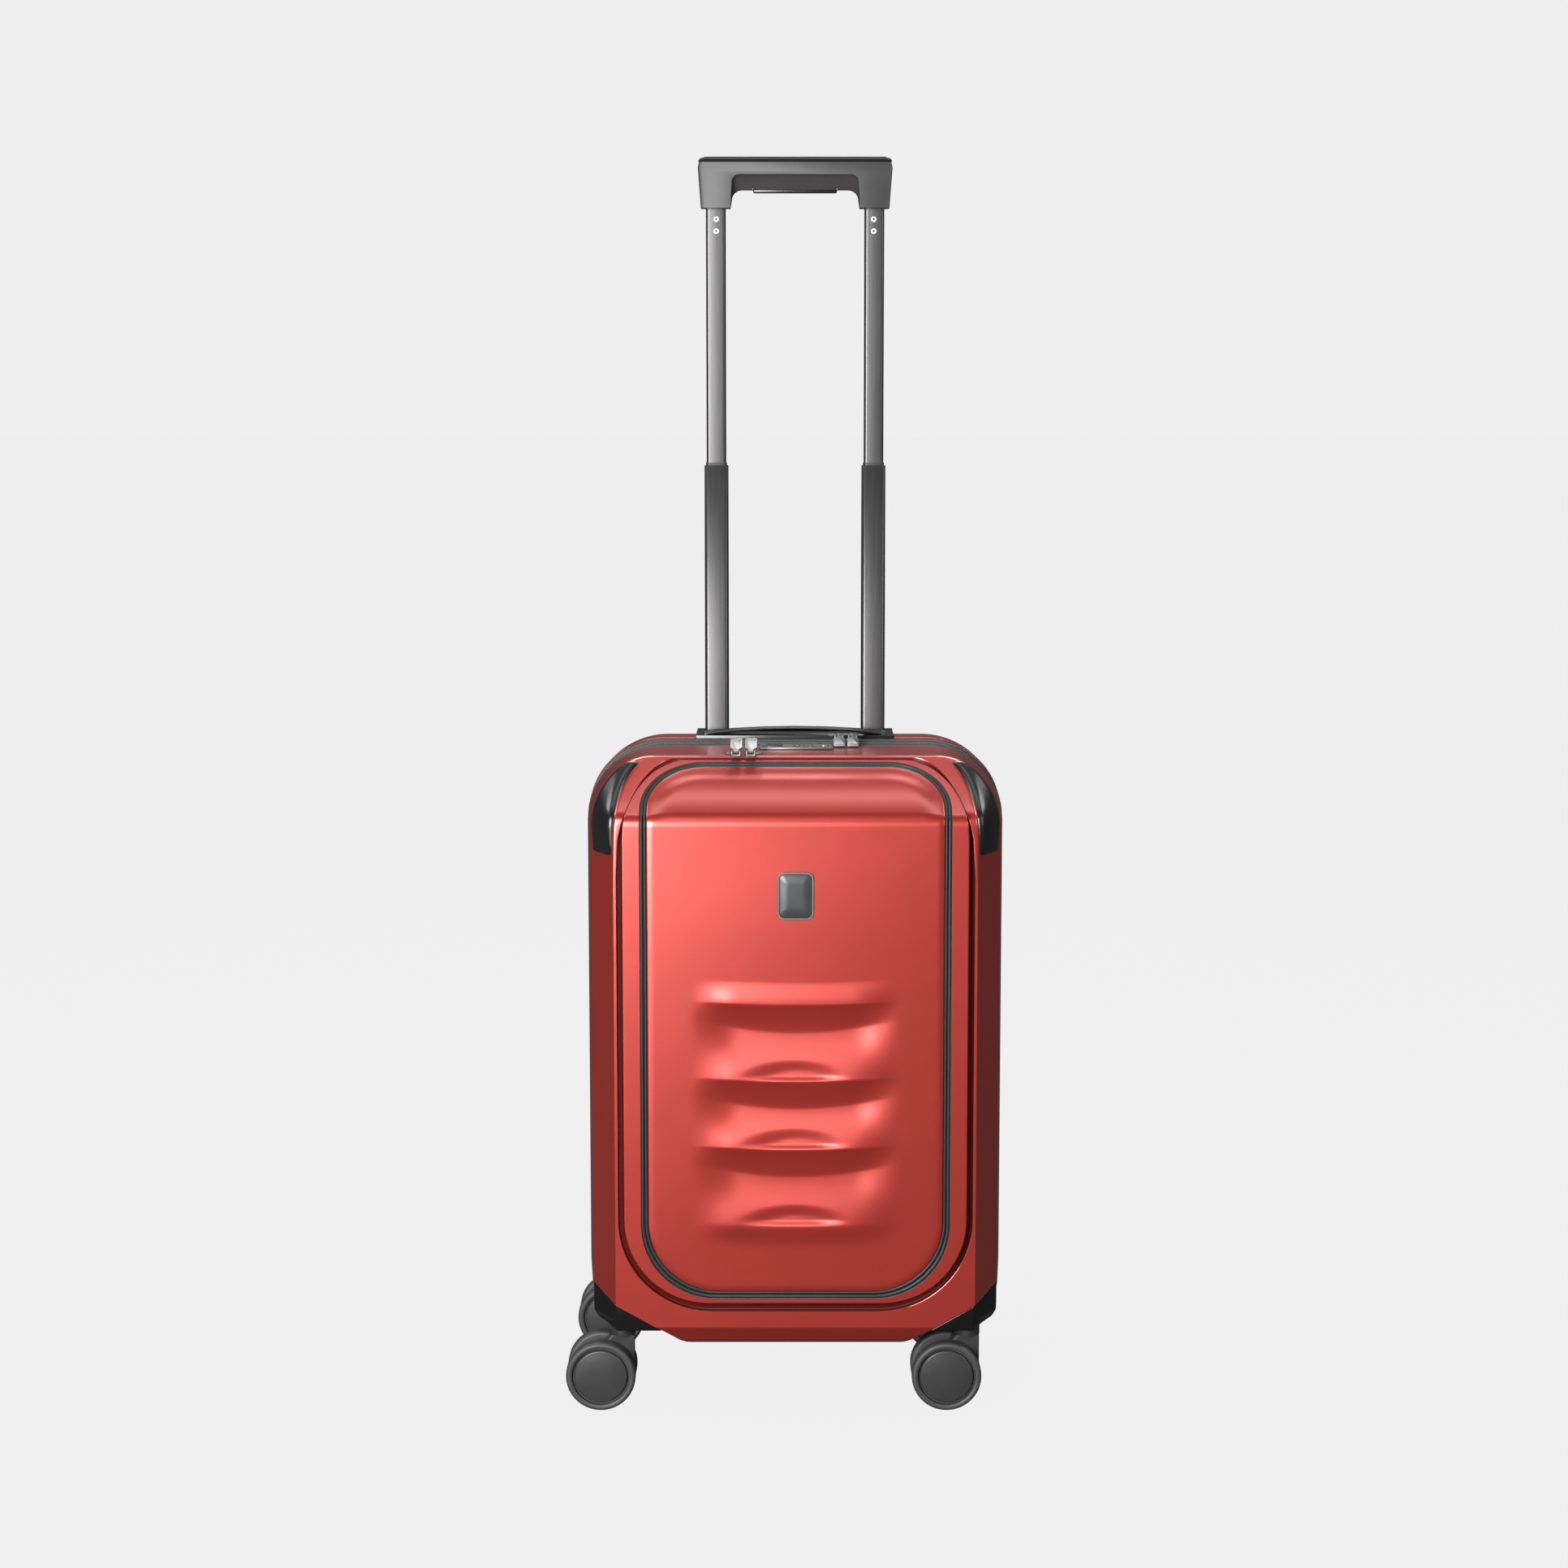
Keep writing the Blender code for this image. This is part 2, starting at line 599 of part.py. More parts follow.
def build_caster(end, name, side):
    y = CASTER_Y * (1 if end == "rear" else -1)
    x = side * CASTER_X
    pivot = (x, y, HOUSING_Z)
    half = 0.0082
    fork = extrude_outline([(x + px, y, pz) for px, pz in fork_outline()], (0, -half, 0), (0, half, 0))
    caster = add_node(f"{end}_caster_{name}_fork", fork, BLACK_SATIN, pivot)
    boolean(caster, cylinder((x, y, 0.0636), (0, 0, 1), 0.0102, 0.0072, 20), "UNION")
    boolean(caster, cylinder((x, y, 0.0720), (0, 0, 1), KINGPIN_R, 0.0130), "UNION")
    axle_at = (x - TRAIL, y, WHEEL_R)
    boolean(caster, cylinder(axle_at, (0, 1, 0), AXLE_R + GAP, 0.040, 12))
    axle = cylinder(axle_at, (0, 1, 0), AXLE_R, WHEEL_PITCH + 0.003, 12)
    add_node(f"{end}_caster_{name}_axle", axle, DARK_METAL, pivot)
    for face, direction in (("outer", -1 if end == "front" else 1), ("inner", 1 if end == "front" else -1)):
        build_wheel(f"{end}_caster_{name}_wheel_{face}", axle_at, direction)


def build_wheel(name, axle_at, direction):
    """A wheel with a tyre groove, a domed cap outside and a blind axle bore inside."""
    inner = WHEEL_PITCH / 2 - WHEEL_WIDTH / 2
    outer = WHEEL_PITCH / 2 + WHEEL_WIDTH / 2
    profile = [(0.0, outer - 0.0008), (HUB_R - 0.001, outer - 0.0018), (HUB_R, outer - 0.0035),
               (HUB_R + 0.001, outer - 0.0035), (HUB_R + 0.0018, outer - 0.0005),
               (WHEEL_TIP_R - 0.0015, outer), (WHEEL_TIP_R, outer - 0.0020),
               (WHEEL_TIP_R, inner + 0.0020), (WHEEL_TIP_R - 0.0015, inner),
               (AXLE_R + GAP, inner), (AXLE_R + GAP, inner + 0.0090), (0.0, inner + 0.0090)]
    turned_profile = [(radius, direction * y) for radius, y in profile]
    add_node(name, turned(turned_profile, WHEEL_SIDES, axle_at), WHEEL_GREY, axle_at)


# ---------------------------------------------------------------- trolley
def build_trolley():
    guide = (LOWER_TUBE[0] + 0.0048, LOWER_TUBE[1] + 0.0048)
    for name, side in SIDES:
        x = side * TUBE_X
        sleeve = tube(x, guide, 0.0020, (0.0600, BEZEL_Z[0] - GAP), 0.004)
        add_node(f"trolley_guide_{name}", sleeve, BLACK_SATIN)
        lower = tube(x, LOWER_TUBE, TUBE_WALL, (LOWER_TUBE_BOTTOM, LOWER_TUBE_TOP))
        add_node(f"lower_tube_{name}", lower, TUBE_METAL, (x, TUBE_Y, LOWER_TUBE_TOP))
        upper = tube(x, UPPER_TUBE, TUBE_WALL, (UPPER_TUBE_BOTTOM, GRIP_BOTTOM + 0.014), 0.0024)
        add_node(f"upper_tube_{name}", upper, TUBE_METAL, (x, TUBE_Y, GRIP_BOTTOM))


def grip_section(y, under, face_inset):
    """One slice of the grip: two legs under a cross bar, as seen from the front."""
    leg_in, leg_out, top_out, seam = 0.0549, 0.0798, 0.0823, GRIP_TOP - 0.0048
    half = [(leg_in, GRIP_BOTTOM), (leg_out - face_inset, GRIP_BOTTOM), (top_out - face_inset, seam - 0.004),
            (top_out - face_inset - 0.001, seam)]
    inner = [(leg_in - 0.0075, under), (leg_in - 0.0035, under - 0.003), (leg_in - 0.0015, under - 0.008)]
    right = inner + half
    left = [(-x, z) for x, z in reversed(right)]
    return [Vector((x, y, z)) for x, z in right + left]


def build_grip():
    slices = (
        (GRIP_FRONT_Y, 1.0225, 0.003),
        (GRIP_FRONT_Y + 0.004, 1.0215, 0.0),
        (GRIP_FRONT_Y + 0.011, 1.0105, 0.0),
        (GRIP_BACK_Y - 0.003, 1.0105, 0.0),
        (GRIP_BACK_Y, 1.0125, 0.003),
    )
    sections = [grip_section(*size) for size in slices]
    made = loft(sections)
    made.verts.ensure_lookup_table()
    count = len(sections[0])
    for row in (0, len(sections) - 1):
        made.faces.new([made.verts[row * count + index] for index in range(count)])
    grip = add_node("grip_body", made, BLACK_SATIN, (0, TUBE_Y, GRIP_BOTTOM))
    socket = (UPPER_TUBE[0] + 2 * GAP, UPPER_TUBE[1] + 2 * GAP)
    depth = (GRIP_BOTTOM - 0.010, GRIP_BOTTOM + 0.0145)
    for _, side in SIDES:
        boolean(grip, tube_cutter(side * TUBE_X, socket, depth, 0.0026))
    boolean(grip, box((-0.0362, 0.0362), (0.0797, 0.0883), (1.0050, 1.0185)))
    add_node("release_button", bevelled_box((-0.0356, 0.0356), (0.0803, 0.0877), (1.0080, 1.0135), 0.0008),
             BLACK_GLOSS, (0, 0.084, 1.0135))
    cap = [(0.0815, 0), (0.0800, 0.0025), (0.0770, 0.0045)]
    seam = GRIP_TOP - 0.0045
    loops = []
    for x, rise in cap:
        inset = 0.5 * rise
        loops.append([Vector((sx * x, y, seam + rise)) for sx, y in
                      ((1, GRIP_FRONT_Y + 0.001 + inset), (1, GRIP_BACK_Y - 0.001 - inset),
                       (-1, GRIP_BACK_Y - 0.001 - inset), (-1, GRIP_FRONT_Y + 0.001 + inset))])
    made = loft(loops)
    made.verts.ensure_lookup_table()
    for row in (0, len(loops) - 1):
        made.faces.new([made.verts[row * 4 + index] for index in range(4)])
    add_node("grip_cap", made, BLACK_GLOSS, (0, TUBE_Y, GRIP_BOTTOM))


# ---------------------------------------------------------------- top bezel and carry handle
def build_bezel():
    width = (-BEZEL_HALF_WIDTH, BEZEL_HALF_WIDTH)
    bezel = add_node("trolley_bezel", box(width, BEZEL_Y, BEZEL_Z), BLACK_GLOSS)
    boolean(bezel, box((-0.056, 0.056), (0.0530, 0.0700), (0.5290, 0.5440)), "UNION")
    boolean(bezel, box((-0.054, 0.054), (0.0550, 0.0690), (0.5310, 0.5600)))
    opening = (LOWER_TUBE[0] + 0.0008, LOWER_TUBE[1] + 0.0008)
    for _, side in SIDES:
        boolean(bezel, tube_cutter(side * TUBE_X, opening, (0.530, 0.560), 0.0034))
        middle = side * (HANDLE_HALF_SPAN - HANDLE_THICK / 2)
        slot = (middle - HANDLE_THICK / 2 - 0.0004, middle + HANDLE_THICK / 2 + 0.0004)
        boolean(bezel, box(slot, (HANDLE_Y[0] - 0.0004, HANDLE_Y[1] + 0.0004), (0.530, 0.560)))


def build_carry_handle():
    """A low arched strap whose turned-down ends slide in the bezel's slots."""
    outer, inner = [], []
    steps = 12
    end_x = HANDLE_HALF_SPAN
    outer.append((-end_x, HANDLE_FOOT_Z))
    inner.append((-end_x + HANDLE_THICK, HANDLE_FOOT_Z))
    for step in range(steps + 1):
        share = -1 + 2 * step / steps
        rise = (HANDLE_TOP_Z - HANDLE_END_Z) * (1 - share * share)
        outer.append((end_x * share, HANDLE_END_Z + 0.0025 + rise * 0.6))
        inner.append(((end_x - HANDLE_THICK) * share, HANDLE_END_Z + 0.0047 - HANDLE_THICK + rise * 0.6))
    outer.append((end_x, HANDLE_FOOT_Z))
    inner.append((end_x - HANDLE_THICK, HANDLE_FOOT_Z))
    outline = [(x, 0, z) for x, z in outer + list(reversed(inner))]
    made = extrude_outline(outline, (0, HANDLE_Y[0], 0), (0, HANDLE_Y[1], 0))
    add_node("carry_handle", made, BLACK_SATIN, (0, sum(HANDLE_Y) / 2, HANDLE_END_Z))


# ---------------------------------------------------------------- lock, sliders and pull tabs
def build_lock():
    body = add_node("lock_body", box(LOCK_X, LOCK_Y, (SHELF_Z + GAP, LOCK_TOP_Z)), BLACK_GLOSS)
    under = (LOCK_X[0] + 0.002, LOCK_X[1] - 0.002)
    boolean(body, box(under, (-0.0100, 0.0100), (0.5310, 0.5445)), "UNION")
    for x in DIAL_X:
        boolean(body, box((x - 0.0025, x + 0.0025), (-0.0065, 0.0065), (0.5335, 0.560)))
    boolean(body, box((-0.0275, -0.0104), (-0.0045, 0.0045), (0.5410, 0.560)))
    boolean(body, cylinder((KEY_X, 0, 0.5460), (0, 0, 1), 0.0040, 0.0140))
    slide = bevelled_box((-0.0242, -0.0108), (-0.0040, 0.0040), (0.5414, 0.5463), 0.0006)
    add_node("lock_release_slide", slide, SATIN_SILVER, (-0.0175, 0, LOCK_TOP_Z))
    for index, x in enumerate(DIAL_X):
        dial = cylinder((x, 0, 0.5403), (1, 0, 0), DIAL_R, 0.0042, 12)
        add_node(f"lock_dial_{index + 1}", dial, BLACK_SATIN, (x, 0, 0.5403))
    barrel = cylinder((KEY_X, 0, 0.54275), (0, 0, 1), 0.0037, 0.0065)
    key = add_node("lock_key_cylinder", barrel, SATIN_SILVER, (KEY_X, 0, LOCK_TOP_Z))
    boolean(key, box((KEY_X - 0.0006, KEY_X + 0.0006), (-0.0022, 0.0022), (0.5430, 0.550)))


def build_slider(name, x, y, base_z):
    """A zip slider: a block with two ears that carry its pull tab."""
    outline = [(-0.0041, 0), (0.0041, 0), (0.0041, 0.0054), (0.0026, 0.0054), (0.0026, 0.0022),
               (-0.0026, 0.0022), (-0.0026, 0.0054), (-0.0041, 0.0054)]
    points = [(x + px, y, base_z + pz) for px, pz in outline]
    add_node(name, extrude_outline(points, (0, -0.0042, 0), (0, 0.0042, 0)), SATIN_SILVER)


def build_tab(name, pivot, direction, tilt_deg):
    """A flat pull tab hinged at its narrow end; direction is +1 to the back, -1 to the front."""
    neck, half = 0.0022, TAB_WIDTH / 2
    outline = [(-neck, -0.0010), (neck, -0.0010), (neck, 0.0052), (half, 0.0075), (half, TAB_LENGTH),
               (-half, TAB_LENGTH), (-half, 0.0075), (-neck, 0.0052)]
    points = [(px, py, 0) for px, py in outline]
    made = extrude_outline(points, (0, 0, -TAB_THICK / 2), (0, 0, TAB_THICK / 2))
    tilt = Matrix.Rotation(math.radians(tilt_deg), 4, "X")
    turn = Matrix.Rotation(0 if direction > 0 else math.pi, 4, "Z")
    bmesh.ops.transform(made, matrix=Matrix.Translation(pivot) @ turn @ tilt, verts=made.verts)
    add_node(name, made, SATIN_SILVER, pivot)


def build_zip_pulls():
    pulls = (
        ("door", (("left", -0.0490), ("right", -0.0368)), -0.0585, SHELF_Z + GAP, 1, 16),
        ("main", (("left", 0.0373), ("right", 0.0490)), 0.0304, SHELF_Z + 0.0028, -1, -11),
    )
    for zip_name, places, y, base_z, direction, tilt in pulls:
        for name, x in places:
            build_slider(f"{zip_name}_slider_{name}", x, y, base_z)
            build_tab(f"{zip_name}_pull_{name}", (x, y, base_z + 0.0040), direction, tilt)


# ---------------------------------------------------------------- assembly
build_shells()
build_zip_bands()
build_door()
build_pocket_panel()
build_corner_guards()
for end_name, _ in ENDS:
    for side_name, side_sign in SIDES:
        build_housing(end_name, side_name, side_sign)
        build_caster(end_name, side_name, side_sign)
build_trolley()
build_grip()
build_bezel()
build_carry_handle()
build_lock()
build_zip_pulls()
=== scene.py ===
"""The looks of a hard-shell cabin spinner case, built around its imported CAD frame.

Lengths are in metres.  Shapes are written about the case's own centre line, x = 0, and
add_piece moves them to CENTRE_X, the case's place in the CAD frame.
"""

import math

import bmesh
import bpy
from mathutils import Matrix, Vector


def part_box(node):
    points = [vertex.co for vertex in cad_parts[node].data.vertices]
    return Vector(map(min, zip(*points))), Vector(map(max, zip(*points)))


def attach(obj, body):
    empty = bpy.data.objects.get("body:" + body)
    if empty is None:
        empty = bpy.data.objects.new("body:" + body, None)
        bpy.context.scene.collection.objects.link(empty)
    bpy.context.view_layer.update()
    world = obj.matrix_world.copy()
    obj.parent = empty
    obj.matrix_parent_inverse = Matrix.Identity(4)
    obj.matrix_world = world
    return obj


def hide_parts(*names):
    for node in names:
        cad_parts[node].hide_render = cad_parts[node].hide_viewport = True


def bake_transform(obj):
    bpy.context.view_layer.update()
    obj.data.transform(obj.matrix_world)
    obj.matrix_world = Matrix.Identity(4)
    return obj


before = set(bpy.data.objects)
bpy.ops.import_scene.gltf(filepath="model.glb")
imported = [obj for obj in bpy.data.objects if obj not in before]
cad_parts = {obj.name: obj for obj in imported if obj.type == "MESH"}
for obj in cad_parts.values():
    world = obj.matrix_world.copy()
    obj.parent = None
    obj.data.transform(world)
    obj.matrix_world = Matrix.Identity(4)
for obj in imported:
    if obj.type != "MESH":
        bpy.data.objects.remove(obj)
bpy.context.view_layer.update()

# ---------------------------------------------------------------- sizes read from the frame
front_low, front_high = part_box("front_shell")
back_low, back_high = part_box("back_shell")
CENTRE_X = (front_low.x + front_high.x) / 2
HALF_WIDTH = (front_high.x - front_low.x) / 2
SHELL_BOTTOM = front_low.z
SHELF_Z = front_high.z
CREST_Z = back_high.z
PAD_Y = front_low.y
FRONT_RIM_Y = front_high.y
BACK_RIM_Y = back_low.y
BACK_Y = back_high.y
MAIN_ZIP_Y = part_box("main_zip_front_tape")[1].y + 0.00015
BAND_SPLIT_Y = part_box("back_zip_tape")[0].y - 0.00015

# ---------------------------------------------------------------- shell form
GAP = 0.0003                    # between a shell's rim and the tape beside it
SLIT = 0.0001                   # half the gap where two zipped bodies meet
TOOTH_ROW = 0.0009              # from that meeting line to a row of teeth
WALL = 0.0027
CORNER_WALL = 0.0020            # a shell's wall at the end of a caster housing
ARC_STEPS = 26
LOW_CORNER = (0.088, 0.044)     # corner sizes are (across, up)
TOP_CORNER = (0.065, 0.062)
CREASE_Z = 0.4985               # the pad's bend from upright to leaning back
CREASE_SOFTNESS = 0.006
CREASE_STEPS = (-3.0, -1.2, -0.9, -0.6, -0.3, 0.0, 0.3, 0.6, 0.9, 1.2)
PAD_LEAN = math.radians(90 - 38.7)
FRAME_Y = -0.105                # the frame round the pad, and where it starts to lean
FRAME_KNEE_Z = 0.500
FRAME_LEAN = 1.3
DOOR_HALF_WIDTH = 0.1213
DOOR_LOW = 0.1047
DOOR_HIGH = 0.5579
DOOR_LOW_CORNER = 0.058
DOOR_HIGH_CORNER = 0.046
ZIP_WIDTH = 0.0057

# Outlines: (half width, low, high, low corner, high corner)
FACET_START = (0.1695, 0.0534, 0.5430, (0.084, 0.042), (0.050, 0.056))
FACET_MIDDLE = (0.1650, 0.0580, 0.5428, (0.060, 0.034), (0.048, 0.058))
FACET_END = (0.1490, 0.0710, 0.5422, (0.004, 0.004), (0.032, 0.064))
PAD_EDGE = (0.1412, 0.0940, 0.5660, (0.070, 0.070), (0.053, 0.088))
OPENING = (0.1273, 0.0979, 0.5641, (0.062, 0.062), (0.053, 0.053))

FACET_START_Y = (-0.070, -0.088, -0.044)    # depths at the sides, bottom and top
FACET_MIDDLE_Y = (-0.0777, -0.097, -0.047)

LOCK_X = (-0.0278, 0.0298)

SIDES = (("left", -1), ("right", 1))
ENDS = (("front", -1), ("rear", 1))


# ---------------------------------------------------------------- materials
WAVE_PITCH = 0.314              # the bands of a wave texture at scale 1


class Look:
    """A Principled material whose detail comes from procedural textures."""

    def __init__(self, name, colour, roughness, metallic=0.0, coat=0.0, coat_roughness=0.1,
                 specular=0.5):
        self.made = bpy.data.materials.new(name)
        self.made.use_nodes = True
        self.tree = self.made.node_tree
        self.shader = self.tree.nodes["Principled BSDF"]
        self.colour = colour
        self.roughness = roughness
        self.set("Base Color", (*colour, 1.0))
        self.set("Roughness", roughness)
        self.set("Metallic", metallic)
        self.set("Coat Weight", coat)
        self.set("Coat Roughness", coat_roughness)
        self.set("Specular IOR Level", specular)
        self.place = self.node("ShaderNodeTexCoord").outputs["Object"]

    def set(self, socket, value):
        self.shader.inputs[socket].default_value = value

    def node(self, kind, **settings):
        made = self.tree.nodes.new(kind)
        for key, value in settings.items():
            setattr(made, key, value)
        return made

    def join(self, source, target):
        self.tree.links.new(source, target)

    def stretched(self, scale):
        mapping = self.node("ShaderNodeMapping")
        mapping.inputs["Scale"].default_value = scale
        self.join(self.place, mapping.inputs["Vector"])
        return mapping.outputs["Vector"]

    def noise(self, scale, detail, stretch=(1, 1, 1)):
        made = self.node("ShaderNodeTexNoise")
        made.inputs["Scale"].default_value = scale
        made.inputs["Detail"].default_value = detail
        self.join(self.stretched(stretch), made.inputs["Vector"])
        return made.outputs["Fac"]

    def wave(self, scale, direction):
        made = self.node("ShaderNodeTexWave", wave_type="BANDS", bands_direction=direction)
        made.inputs["Scale"].default_value = scale
        made.inputs["Distortion"].default_value = 0.0
        self.join(self.place, made.inputs["Vector"])
        return made.outputs["Fac"]

    def math(self, operation, first, second):
        made = self.node("ShaderNodeMath", operation=operation)
        for socket, value in zip(made.inputs, (first, second)):
            if isinstance(value, (int, float)):
                socket.default_value = value
            else:
                self.join(value, socket)
        return made.outputs[0]

    def spread(self, source, low, high):
        """Carry a 0 to 1 pattern to a range of values."""
        made = self.node("ShaderNodeMapRange")
        made.inputs["To Min"].default_value = low
        made.inputs["To Max"].default_value = high
        self.join(source, made.inputs["Value"])
        return made.outputs["Result"]

    def mottle(self, pattern, share):
        """Let the colour swing by a share either side of its own value."""
        ramp = self.node("ShaderNodeValToRGB")
        stops = zip(ramp.color_ramp.elements, (0.25, 0.75), (1 - share, 1 + share))
        for stop, position, swing in stops:
            stop.position = position
            stop.color = (*[min(1, channel * swing) for channel in self.colour], 1)
        self.join(pattern, ramp.inputs["Fac"])
        self.join(ramp.outputs["Color"], self.shader.inputs["Base Color"])

    def vary_roughness(self, pattern, swing):
        uneven = self.spread(pattern, self.roughness - swing, self.roughness + swing)
        self.join(uneven, self.shader.inputs["Roughness"])

    def bump(self, pattern, depth, strength=0.5):
        made = self.node("ShaderNodeBump")
        made.inputs["Strength"].default_value = strength
        made.inputs["Distance"].default_value = depth
        self.join(pattern, made.inputs["Height"])
        self.join(made.outputs["Normal"], self.shader.inputs["Normal"])


def moulded(name, colour, roughness, grain, depth, **settings):
    """Moulded plastic with a fine grain."""
    look = Look(name, colour, roughness, **settings)
    pattern = look.noise(grain, 3.0)
    look.mottle(look.noise(60, 2.0), 0.10)
    look.vary_roughness(pattern, 0.04)
    look.bump(pattern, depth)
    return look.made


def metallic_shell():
    """Red polycarbonate with a metallic under-coat and a clear gloss skin."""
    look = Look("metallic_red_shell", (0.57, 0.043, 0.029), 0.33, metallic=0.66,
                coat=1.0, coat_roughness=0.24)
    flakes = look.noise(2600, 1.0)
    look.set("Coat IOR", 1.75)
    look.mottle(flakes, 0.10)
    look.vary_roughness(look.noise(35, 3.0), 0.02)
    look.bump(look.noise(420, 2.0), 0.00002, 0.35)
    return look.made


def woven(name, colour, pitch, sheen=0.2):
    """Plain weave: two sets of threads, a little fuzz and uneven dye."""
    look = Look(name, colour, 0.78)
    look.set("Sheen Weight", sheen)
    scale = WAVE_PITCH / pitch
    across = look.wave(scale, "DIAGONAL")
    along, upright = [look.math("MULTIPLY", across, look.wave(scale, axis)) for axis in "YZ"]
    threads = look.math("MAXIMUM", along, upright)
    dye = look.spread(look.noise(220, 3.0), 0.7, 1.2)
    look.mottle(look.math("MULTIPLY", threads, dye), 0.35)
    look.bump(threads, 0.00015, 0.7)
    return look.made


def brushed(name, colour, roughness, metallic, stretch):
    """Metal with fine lines; the stretch is least along them."""
    look = Look(name, colour, roughness, metallic=metallic)
    lines = look.noise(1.0, 3.0, stretch)
    look.mottle(lines, 0.08)
    look.vary_roughness(lines, 0.06)
    look.bump(lines, 0.00002, 0.25)
    return look.made


RED = metallic_shell()
# darker matt red for the groove between frame and pad: painted shade that stands in for the shade falling in
# that recess
GROOVE_PAINTED_SHADE = moulded("channel_red_painted_shade", (0.085, 0.0045, 0.0015), 0.42, 900, 0.00003)
GLOSS_BLACK = moulded("gloss_black", (0.010, 0.010, 0.011), 0.30, 700, 0.00001, coat=0.4,
                      coat_roughness=0.2)
PIANO_BLACK = moulded("piano_black", (0.007, 0.007, 0.007), 0.15, 700, 0.00001)
SATIN_BLACK = moulded("satin_black", (0.030, 0.030, 0.031), 0.42, 1600, 0.00003)
GRIP_BLACK = moulded("grip_black", (0.055, 0.055, 0.056), 0.44, 1800, 0.00003)
HUB_GREY = moulded("hub_grey", (0.052, 0.052, 0.054), 0.36, 1400, 0.00002, metallic=0.25)
TYRE_GREY = moulded("tyre_grey", (0.055, 0.055, 0.057), 0.50, 900, 0.00004)
TAPE = woven("zip_tape_weave", (0.024, 0.026, 0.026), 0.0009, 0.1)
COIL = moulded("zip_coil", (0.085, 0.088, 0.088), 0.42, 1500, 0.00002)
LINING = woven("lining_weave", (0.075, 0.077, 0.085), 0.0012)
STRAP = woven("strap_weave", (0.020, 0.021, 0.023), 0.0016)
MESH_CLOTH = woven("pocket_cloth", (0.045, 0.047, 0.052), 0.0022)
TUBE = brushed("anodised_tube", (0.095, 0.093, 0.093), 0.34, 0.85, (1500, 1500, 25))
SILVER = brushed("satin_silver", (0.22, 0.22, 0.215), 0.36, 0.75, (300, 1800, 1800))
STEEL = brushed("dark_steel", (0.12, 0.12, 0.12), 0.35, 0.9, (1500, 60, 1500))
SILVER_DARK = brushed("lock_metal", (0.19, 0.19, 0.185), 0.38, 0.8, (300, 1800, 1800))
RIVET = brushed("rivet_silver", (0.85, 0.85, 0.85), 0.45, 0.5, (900, 900, 900))
TAPE_GLOSS = moulded("coated_zip_tape", (0.020, 0.022, 0.022), 0.48, 900, 0.00004)
BADGE_GREY = moulded("badge_grey", (0.075, 0.078, 0.080), 0.35, 1500, 0.00001, metallic=0.4)


# ---------------------------------------------------------------- making pieces
def as_object(name, mesh_data, look=None):
    """An object in the scene from a bmesh, which is freed."""
    mesh = bpy.data.meshes.new(name)
    mesh_data.to_mesh(mesh)
    mesh_data.free()
    if look is not None:
        mesh.materials.append(look)
    made = bpy.data.objects.new(name, mesh)
    bpy.context.scene.collection.objects.link(made)
    return made


def finish_piece(made, body, replaced, sharp=32):
    """Shade a piece and tie it to its body; a piece given (bodies, start, end) that it spans is only baked in
    place and tied to no body, and those values are not used.
    """
    made.data.shade_smooth()
    made.data.set_sharp_from_angle(angle=math.radians(sharp))
    if isinstance(body, str):
        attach(made, body)
    else:
        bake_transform(made)
    if replaced:
        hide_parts(*replaced)
    return made


def add_piece(name, mesh_data, look, body, replaced=(), sharp=32):
    """A visible piece, from a bmesh in case coordinates."""
    bmesh.ops.recalc_face_normals(mesh_data, faces=mesh_data.faces)
    bmesh.ops.translate(mesh_data, verts=mesh_data.verts, vec=(CENTRE_X, 0, 0))
    return finish_piece(as_object(name, mesh_data, look), body, replaced, sharp)


def soften(mesh_data, width, segments, angle=30):
    """Round every edge that is sharper than an angle."""
    wanted = [edge for edge in mesh_data.edges
              if len(edge.link_faces) == 2 and edge.calc_face_angle(0) > math.radians(angle)]
    bmesh.ops.bevel(mesh_data, geom=wanted, offset=width, segments=segments, profile=0.5,
                    affect="EDGES", clamp_overlap=True)
    return mesh_data


def refined(node, look, body, width, segments, angle=30):
    """A finely rounded piece made from a CAD node that it then stands for."""
    made = bmesh.new()
    made.from_mesh(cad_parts[node].data)
    bmesh.ops.remove_doubles(made, verts=made.verts, dist=0.000005)
    bmesh.ops.dissolve_limit(made, angle_limit=math.radians(1.5), verts=made.verts, edges=made.edges)
    soften(made, width, segments, angle)
    return finish_piece(as_object(f"{node}_fine", made, look), body, (node,))


def carved(target, cutter, with_material=False):
    """The target object's mesh less the cutter's; the cutter is then removed."""
    modifier = target.modifiers.new("carve", "BOOLEAN")
    modifier.operation = "DIFFERENCE"
    modifier.solver = "EXACT"
    modifier.object = cutter
    if with_material:
        modifier.material_mode = "TRANSFER"
    depsgraph = bpy.context.evaluated_depsgraph_get()
    mesh = bpy.data.meshes.new_from_object(target.evaluated_get(depsgraph))
    target.modifiers.clear()
    target.data = mesh
    bpy.data.objects.remove(cutter)
    return target


